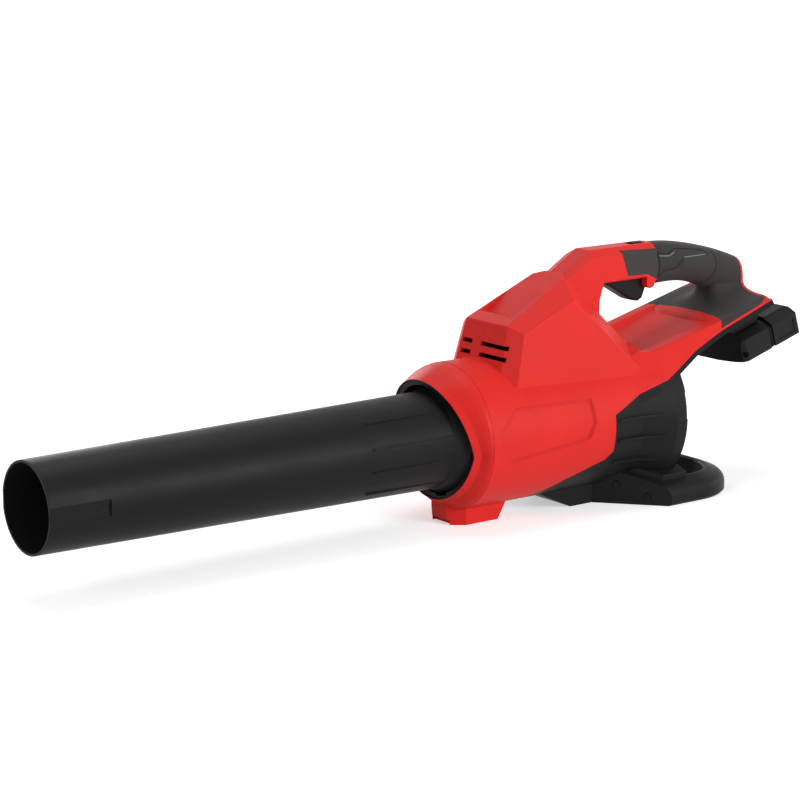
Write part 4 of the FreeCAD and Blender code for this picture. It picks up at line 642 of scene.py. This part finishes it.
FINISHES: dict[str, Finish] = {
    "red_plastic": MouldedPlastic("red_shell", linear(212, 42, 38), 0.42, grain=1300.0, depth=0.00003,
                                  marks=0.3, mirror=0.1),
    "black_plastic": MouldedPlastic("black_shell", BLACK, 0.44, grain=1100.0, depth=0.00005),
    "tube_plastic": MouldedPlastic("tube_shell", BLACK, 0.44, grain=1100.0, depth=0.00005, zones=TUBE_MESH),
    "dark_plastic": MouldedPlastic("inner_plastic", linear(34, 34, 36), 0.55, grain=900.0),
    "fan_plastic": MouldedPlastic("fan_plastic", linear(62, 62, 65), 0.45, grain=700.0),
    "pad_plastic": MouldedPlastic("pad_plastic", linear(60, 57, 56), 0.55, grain=800.0, depth=0.00007),
    "soft_grip": SoftRubber("grip_rubber", linear(52, 49, 48), 0.55, zones=GRIP_MESH),
    "seam": SoftRubber("seam_rubber", linear(18, 18, 18), 0.8),
    # A pale rubber that paints the highlights along the crease of the grip's raised panel.
    "highlight_bead": SoftRubber("painted_highlight_rubber", linear(128, 125, 122), 0.5),
    "soft_rubber": SoftRubber("seal_rubber", linear(24, 24, 25), 0.75),
    "aluminium": BareMetal("cast_aluminium", linear(200, 201, 204), 0.42),
    "core_steel": BareMetal("lamination_steel", linear(120, 121, 126), 0.45, brushing=2600.0),
    "magnet": BareMetal("nickel_plate", linear(176, 176, 178), 0.25),
    "steel": BareMetal("ground_steel", linear(190, 190, 193), 0.3),
    "screw_steel": BareMetal("blackened_steel", linear(34, 34, 36), 0.4),
    "copper": Winding("copper_wire", linear(214, 128, 84), 0.35),
    "board": CircuitBoard("circuit_board", linear(24, 92, 50), 0.4),
    "capacitor": BareMetal("capacitor_can", linear(120, 122, 130), 0.38),
}


def dress(node: bpy.types.Object, material: bpy.types.Material) -> None:
    """Give every slot of a node one material.

    Args:
        node: The node's object.
        material: The material.
    """
    if not node.material_slots:
        node.data.materials.append(material)
    for place in node.material_slots:
        place.material = material


@dataclass
class SubAssembly:
    """A group of nodes of the frame that belong together.

    Attributes:
        nodes: Nodes of the group with the name of their finish.
    """

    nodes: dict[str, str] = field(default_factory=dict)

    def build(self, frame: dict, materials: Materials) -> None:
        """Dress the nodes.

        Args:
            frame: The loaded frame.
            materials: The materials by finish.
        """
        for name, finish in self.nodes.items():
            dress(frame["nodes"][name], materials[finish])
            LOG.info("dressed %s in %s", name, finish)


def both(name: str, finish: str) -> dict[str, str]:
    """The left and right node of a pair, in one finish."""
    return {f"{name}_{side.value}": finish for side in Side}


@dataclass
class Housing(SubAssembly):
    """Red clam shell with its grip cover, pads and screws."""

    nodes: dict[str, str] = field(default_factory=lambda: {
        **both("housing", "red_plastic"), **both("grip_cover", "soft_grip"),
        **both("front_pad", "pad_plastic"), "housing_screws": "screw_steel"})


@dataclass(frozen=True)
class MouldedLine:
    """A fine bead or seam that follows a side of the grip.

    Attributes:
        name: Name of the piece, without its side.
        finish: Finish of the bead.
        radius: Radius of the bead, in metres.
        places: Points of the line along X and Z, in metres.
    """

    name: str
    finish: str
    radius: float
    places: tuple[tuple[float, float], ...]


@dataclass
class GripTrim:
    """Seams, outline and pale beads on both sides of the grip; the pale beads are painted highlights along
    the crease of a raised panel.

    Attributes:
        step: Distance between the points of a bead, in metres.
        sunk: Share of the radius that lies under the surface.
        reach: Where the search for the surface starts, from the middle plane, in metres.
        least: Share of the step that has to lie between two points.
        crease: Angle under which two faces of a bead are shaded as one, in radians.
        lines: The lines of one side.
    """

    step: float = 0.0012
    sunk: float = 0.35
    reach: float = 0.2
    least: float = 0.2
    crease: float = 0.9
    lines: tuple[MouldedLine, ...] = (
        MouldedLine("grip_seam", "seam", 0.0005, (
            (0.3766, 0.2508), (0.3802, 0.2462), (0.3816, 0.2409), (0.3812, 0.2343), (0.3777, 0.2273),
            (0.3729, 0.2211), (0.3661, 0.2166))),
        MouldedLine("grip_mesh_edge", "seam", 0.0005, (
            (0.2969, 0.2310), (0.3045, 0.2361), (0.3220, 0.2387), (0.3340, 0.2485))),
        MouldedLine("grip_outline", "seam", 0.0005, (
            (0.2961, 0.2606), (0.2985, 0.2566), (0.3123, 0.2554), (0.3194, 0.2592), (0.3262, 0.2589),
            (0.3618, 0.2543), (0.3683, 0.2506), (0.3664, 0.2480))),
        # The next two lines are pale beads that paint the highlights along the crease of the raised panel.
        MouldedLine("grip_highlight_line_front", "highlight_bead", 0.0006, (
            (0.2976, 0.2537), (0.3132, 0.2525), (0.3205, 0.2559))),
        MouldedLine("grip_highlight_line_rear", "highlight_bead", 0.0006, ((0.3340, 0.2491), (0.3670, 0.2490))),
        MouldedLine("grip_collar_front", "seam", 0.0005, (
            (0.2926, 0.2619), (0.2948, 0.2494), (0.2960, 0.2304))),
        MouldedLine("grip_collar_rear", "seam", 0.0005, (
            (0.2951, 0.2617), (0.2977, 0.2491), (0.2982, 0.2323))))

    def build(self, frame: dict, materials: Materials) -> None:
        """Model the lines of both sides.

        Args:
            frame: The loaded frame.
            materials: The materials by finish.
        """
        for side in Side:
            mesh = frame["nodes"][f"grip_cover_{side.value}"].data
            skin = BVHTree.FromPolygons([v.co for v in mesh.vertices], [p.vertices for p in mesh.polygons])
            for line in self.lines:
                points = self.follow(skin, line, side)
                piece = self.bead(f"{line.name}_{side.value}", points, line.radius)
                dress(piece, materials[line.finish])
                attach(piece, "housing")
                LOG.info("modelled %s over %d points", piece.name, len(points))

    def follow(self, skin: BVHTree, line: MouldedLine, side: Side) -> list[Vector]:
        """Lay a line on the surface.

        Args:
            skin: The surface.
            line: The line.
            side: The side that it is on.

        Returns:
            The points of the bead's middle.
        """
        sign = -1.0 if side is Side.LEFT else 1.0
        points = []
        for (x0, z0), (x1, z1) in zip(line.places, line.places[1:]):
            steps = max(1, round(math.hypot(x1 - x0, z1 - z0) / self.step))
            for number in range(steps + 1):
                share = number / steps
                start = Vector((x0 + (x1 - x0) * share, sign * self.reach, z0 + (z1 - z0) * share))
                hit, normal, _, _ = skin.ray_cast(start, Vector((0.0, -sign, 0.0)))
                if hit is not None and (not points or (hit - points[-1]).length > self.least * self.step):
                    points.append(hit - normal * self.sunk * line.radius)
        return points

    def bead(self, name: str, points: list[Vector], radius: float) -> bpy.types.Object:
        """Model a round bead along some points.

        Args:
            name: Name of the piece.
            points: Points of its middle.
            radius: Its radius, in metres.

        Returns:
            The bead's object.
        """
        bpy.ops.object.select_all(action="DESELECT")
        bpy.ops.curve.primitive_bezier_curve_add(location=(0.0, 0.0, 0.0))
        curve = bpy.context.active_object.data
        curve.splines.clear()
        spline = curve.splines.new("POLY")
        spline.points.add(len(points) - 1)
        for place, point in zip(spline.points, points):
            place.co = (point.x, point.y, point.z, 1.0)
        curve.dimensions = "3D"
        curve.bevel_depth = radius
        curve.bevel_resolution = 1
        curve.use_fill_caps = True
        bpy.ops.object.convert(target="MESH")
        piece = bpy.context.active_object
        piece.name = name
        bpy.ops.object.shade_smooth_by_angle(angle=self.crease)
        return piece


@dataclass
class Cowl(SubAssembly):
    """Black cowl with its base, bumper, intake guard and screws."""

    nodes: dict[str, str] = field(default_factory=lambda: {
        **both("cowl", "black_plastic"), "base": "black_plastic", "bumper": "black_plastic",
        "intake_guard": "black_plastic", "base_screws": "screw_steel"})


@dataclass
class Tube(SubAssembly):
    """Nozzle tube with its socket and seal."""

    nodes: dict[str, str] = field(default_factory=lambda: {
        "nozzle_tube": "tube_plastic", "tube_socket": "black_plastic", "tube_seal": "soft_rubber"})


@dataclass
class FanDrive(SubAssembly):
    """Duct, motor and fan."""

    nodes: dict[str, str] = field(default_factory=lambda: {
        **both("fan_duct", "dark_plastic"), "motor_cup": "dark_plastic", "outlet_cone": "dark_plastic",
        "motor_end_plate": "aluminium", "stator_core": "core_steel", "stator_coils": "copper",
        "rotor_core": "core_steel", "rotor_magnets": "magnet", "motor_shaft": "steel",
        "bearing_front": "steel", "bearing_rear": "steel",
        "fan": "fan_plastic", "fan_washer": "steel", "fan_nut": "steel",
        "motor_screws": "screw_steel", "duct_ring_front": "soft_rubber", "duct_ring_rear": "soft_rubber"})


@dataclass
class Controls(SubAssembly):
    """Trigger, lock button and electronics."""

    nodes: dict[str, str] = field(default_factory=lambda: {
        "trigger": "black_plastic", "trigger_pin": "steel", "trigger_spring": "steel",
        "trigger_magnet": "magnet", "sensor_board": "board",
        "lock_button": "black_plastic", "lock_spring": "steel",
        "electronics_tray": "dark_plastic", "control_board": "board", "heat_sink": "aluminium",
        "capacitors": "capacitor", "tray_screws": "screw_steel"})


@dataclass(frozen=True)
class Spring:
    """A coil spring that a joint presses.

    Attributes:
        node: Its node in the frame.
        joint: The joint that presses it; not used.
        travel: How much shorter it is at the joint's limit, in metres; not used.
        fixed_top: Whether its upper end stands still; not used.
    """

    node: str
    joint: str
    travel: float
    fixed_top: bool


@dataclass
class Springs:
    """The springs of trigger and lock button, which shorten as they are pressed; the copies here keep the
    length of the frame.

    Attributes:
        springs: The springs.
        weld: Distance within which the points of a coil are one, in metres.
    """

    springs: tuple[Spring, ...] = (
        Spring("trigger_spring", "trigger_pull", 0.0050, True),
        Spring("lock_spring", "lock_press", 0.0025, False))
    weld: float = 0.00001

    def build(self, frame: dict, materials: Materials) -> None:
        """Put a copy of each spring's coil in the place of the spring.

        Args:
            frame: The loaded frame.
            materials: The materials by finish.
        """
        for spring in self.springs:
            coil = self.coil(frame["nodes"][spring.node], f"{spring.node}_coil")
            dress(coil, materials["steel"])
            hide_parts(spring.node)
            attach(coil, "housing")
            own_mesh(coil)
            LOG.info("modelled %s", coil.name)

    def coil(self, node: bpy.types.Object, name: str) -> bpy.types.Object:
        """Copy a spring's mesh and merge its loose triangles.

        Args:
            node: The spring's node.
            name: Name of the copy.

        Returns:
            The coil's object.
        """
        piece = bpy.data.objects.new(name, node.data.copy())
        bpy.context.scene.collection.objects.link(piece)
        bpy.ops.object.select_all(action="DESELECT")
        piece.select_set(True)
        bpy.context.view_layer.objects.active = piece
        bpy.ops.object.mode_set(mode="EDIT")
        bpy.ops.mesh.select_all(action="SELECT")
        bpy.ops.mesh.remove_doubles(threshold=self.weld)
        bpy.ops.object.mode_set(mode="OBJECT")
        return piece


@dataclass
class BatteryDock(SubAssembly):
    """Dock with two receivers and their terminals."""

    nodes: dict[str, str] = field(default_factory=lambda: {
        "battery_dock": "black_plastic", **both("terminal_block", "dark_plastic"),
        **both("terminal_blades", "copper"), "dock_screws": "screw_steel"})


@dataclass(frozen=True)
class Lamp:
    """A square area lamp.

    Attributes:
        name: Name of the lamp.
        place: Where it stands, in metres.
        size: Side of the square, in metres.
        power: Power in watts.
    """

    name: str
    place: Place
    size: float
    power: float

    def build(self, target: Vector) -> None:
        """Set the lamp up and aim it.

        Args:
            target: The point that it looks at.
        """
        data = bpy.data.lights.new(self.name, "AREA")
        data.shape = "SQUARE"
        data.size = self.size
        data.energy = self.power
        lamp = bpy.data.objects.new(self.name, data)
        bpy.context.scene.collection.objects.link(lamp)
        lamp.location = self.place
        lamp.rotation_euler = (target - lamp.location).to_track_quat("-Z", "Y").to_euler()


@dataclass(frozen=True)
class Studio:
    """Pale floor, soft lamps and the camera of the photograph.

    Attributes:
        camera_place: Where the camera stands, in metres.
        right: Direction to the right of the picture.
        up: Direction up the picture.
        lens: Focal length in millimetres.
        sensor: Width of the camera's sensor in millimetres.
        floor_half: Half the floor's side in metres.
        floor_colour: Linear colour of the floor.
        floor_roughness: Roughness of the floor.
        glow_reach: Distances from the middle between which the floor's own white rises, in metres.
        glow: The floor's own white at these distances, for rays that show the background.
        world_light: Strength of the world where it lights the object.
        aim: The point that the lamps look at, in metres.
        lamps: The lamps.
    """

    camera_place: Place = (-1.57437, -2.05684, 0.69634)
    right: Place = (0.80073, -0.59902, 0.0)
    up: Place = (0.12761, 0.17058, 0.97705)
    lens: float = 117.0
    sensor: float = 36.0
    floor_half: float = 14.0
    floor_colour: Colour = (0.86, 0.86, 0.86, 1.0)
    floor_roughness: float = 0.9
    glow_reach: tuple[float, float] = (0.6, 3.0)
    glow: tuple[float, float] = (0.5, 0.9)
    world_light: float = 0.2
    aim: Place = (0.0, 0.0, 0.12)
    lamps: tuple[Lamp, ...] = (
        Lamp("side", (0.9, -2.4, 0.9), 1.1, 48.0),
        Lamp("top", (0.2, 0.5, 2.6), 1.6, 24.0),
        Lamp("front", (-2.6, -0.5, 1.0), 1.4, 20.0),
        Lamp("rear", (2.4, -0.6, 0.6), 0.6, 6.0),
        Lamp("far", (0.4, 2.4, 1.0), 1.1, 16.0))

    def build(self) -> None:
        """Build floor, world, lamps and camera."""
        self.floor()
        self.world()
        for lamp in self.lamps:
            lamp.build(Vector(self.aim))
        self.camera()
        bpy.context.scene.view_settings.view_transform = "Standard"

    def floor(self) -> None:
        """Build the pale floor, which shows white and keeps the shadow."""
        bpy.ops.object.select_all(action="DESELECT")
        bpy.ops.mesh.primitive_plane_add(size=2 * self.floor_half)
        plane = bpy.context.active_object
        plane.name = "floor"
        material = bpy.data.materials.new("pale_floor")
        material.use_nodes = True
        tree = NodeTree(material.node_tree)
        away = tree.feed(tree.add("ShaderNodeVectorMath", operation="LENGTH"), Vector=tree.place())
        rising = tree.ramp(away.outputs["Value"], self.glow_reach, self.glow)
        tree.feed(material.node_tree.nodes["Principled BSDF"], Base_Color=self.floor_colour,
                  Roughness=self.floor_roughness, Specular_IOR_Level=0.0, Emission_Color=WHITE,
                  Emission_Strength=tree.maths("MULTIPLY", rising, self.seen(tree)))
        plane.data.materials.append(material)

    def world(self) -> None:
        """Build the world: soft light for the object, plain white for camera and mirrors."""
        world = bpy.data.worlds.new("studio")
        bpy.context.scene.world = world
        world.use_nodes = True
        tree = NodeTree(world.node_tree)
        strength = tree.ramp(self.seen(tree), (0.0, 1.0), (self.world_light, 1.0))
        tree.feed(world.node_tree.nodes["Background"], Color=WHITE, Strength=strength)

    def seen(self, tree: NodeTree) -> Socket:
        """Tell the rays that show the background: from the camera, off metal and through glass.

        Args:
            tree: Helper of the tree that asks.

        Returns:
            The socket that is 1 for such a ray and 0 for one that lights the object.
        """
        path = tree.add("ShaderNodeLightPath")
        first = tree.maths("MAXIMUM", path.outputs["Is Camera Ray"], path.outputs["Is Glossy Ray"])
        return tree.maths("MAXIMUM", first, path.outputs["Is Transmission Ray"])

    def camera(self) -> None:
        """Set the camera that took the photograph."""
        data = bpy.data.cameras.new("camera")
        data.lens = self.lens
        data.sensor_width = self.sensor
        camera = bpy.data.objects.new("camera", data)
        bpy.context.scene.collection.objects.link(camera)
        right = Vector(self.right).normalized()
        up = Vector(self.up).normalized()
        turn = Matrix((right, up, right.cross(up))).transposed().to_4x4()
        camera.matrix_world = Matrix.Translation(self.camera_place) @ turn
        bpy.context.scene.camera = camera


def main() -> None:
    """Dress the blower and set the studio around it."""
    logging.basicConfig(level=logging.INFO, format="%(name)s: %(message)s")
    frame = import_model()
    materials = {key: finish.build() for key, finish in FINISHES.items()}
    for assembly in (Tube(), Housing(), GripTrim(), Cowl(), FanDrive(), Controls(), Springs(),
                     BatteryDock()):
        assembly.build(frame, materials)
    Studio().build()


if __name__ == "__main__":
    main()
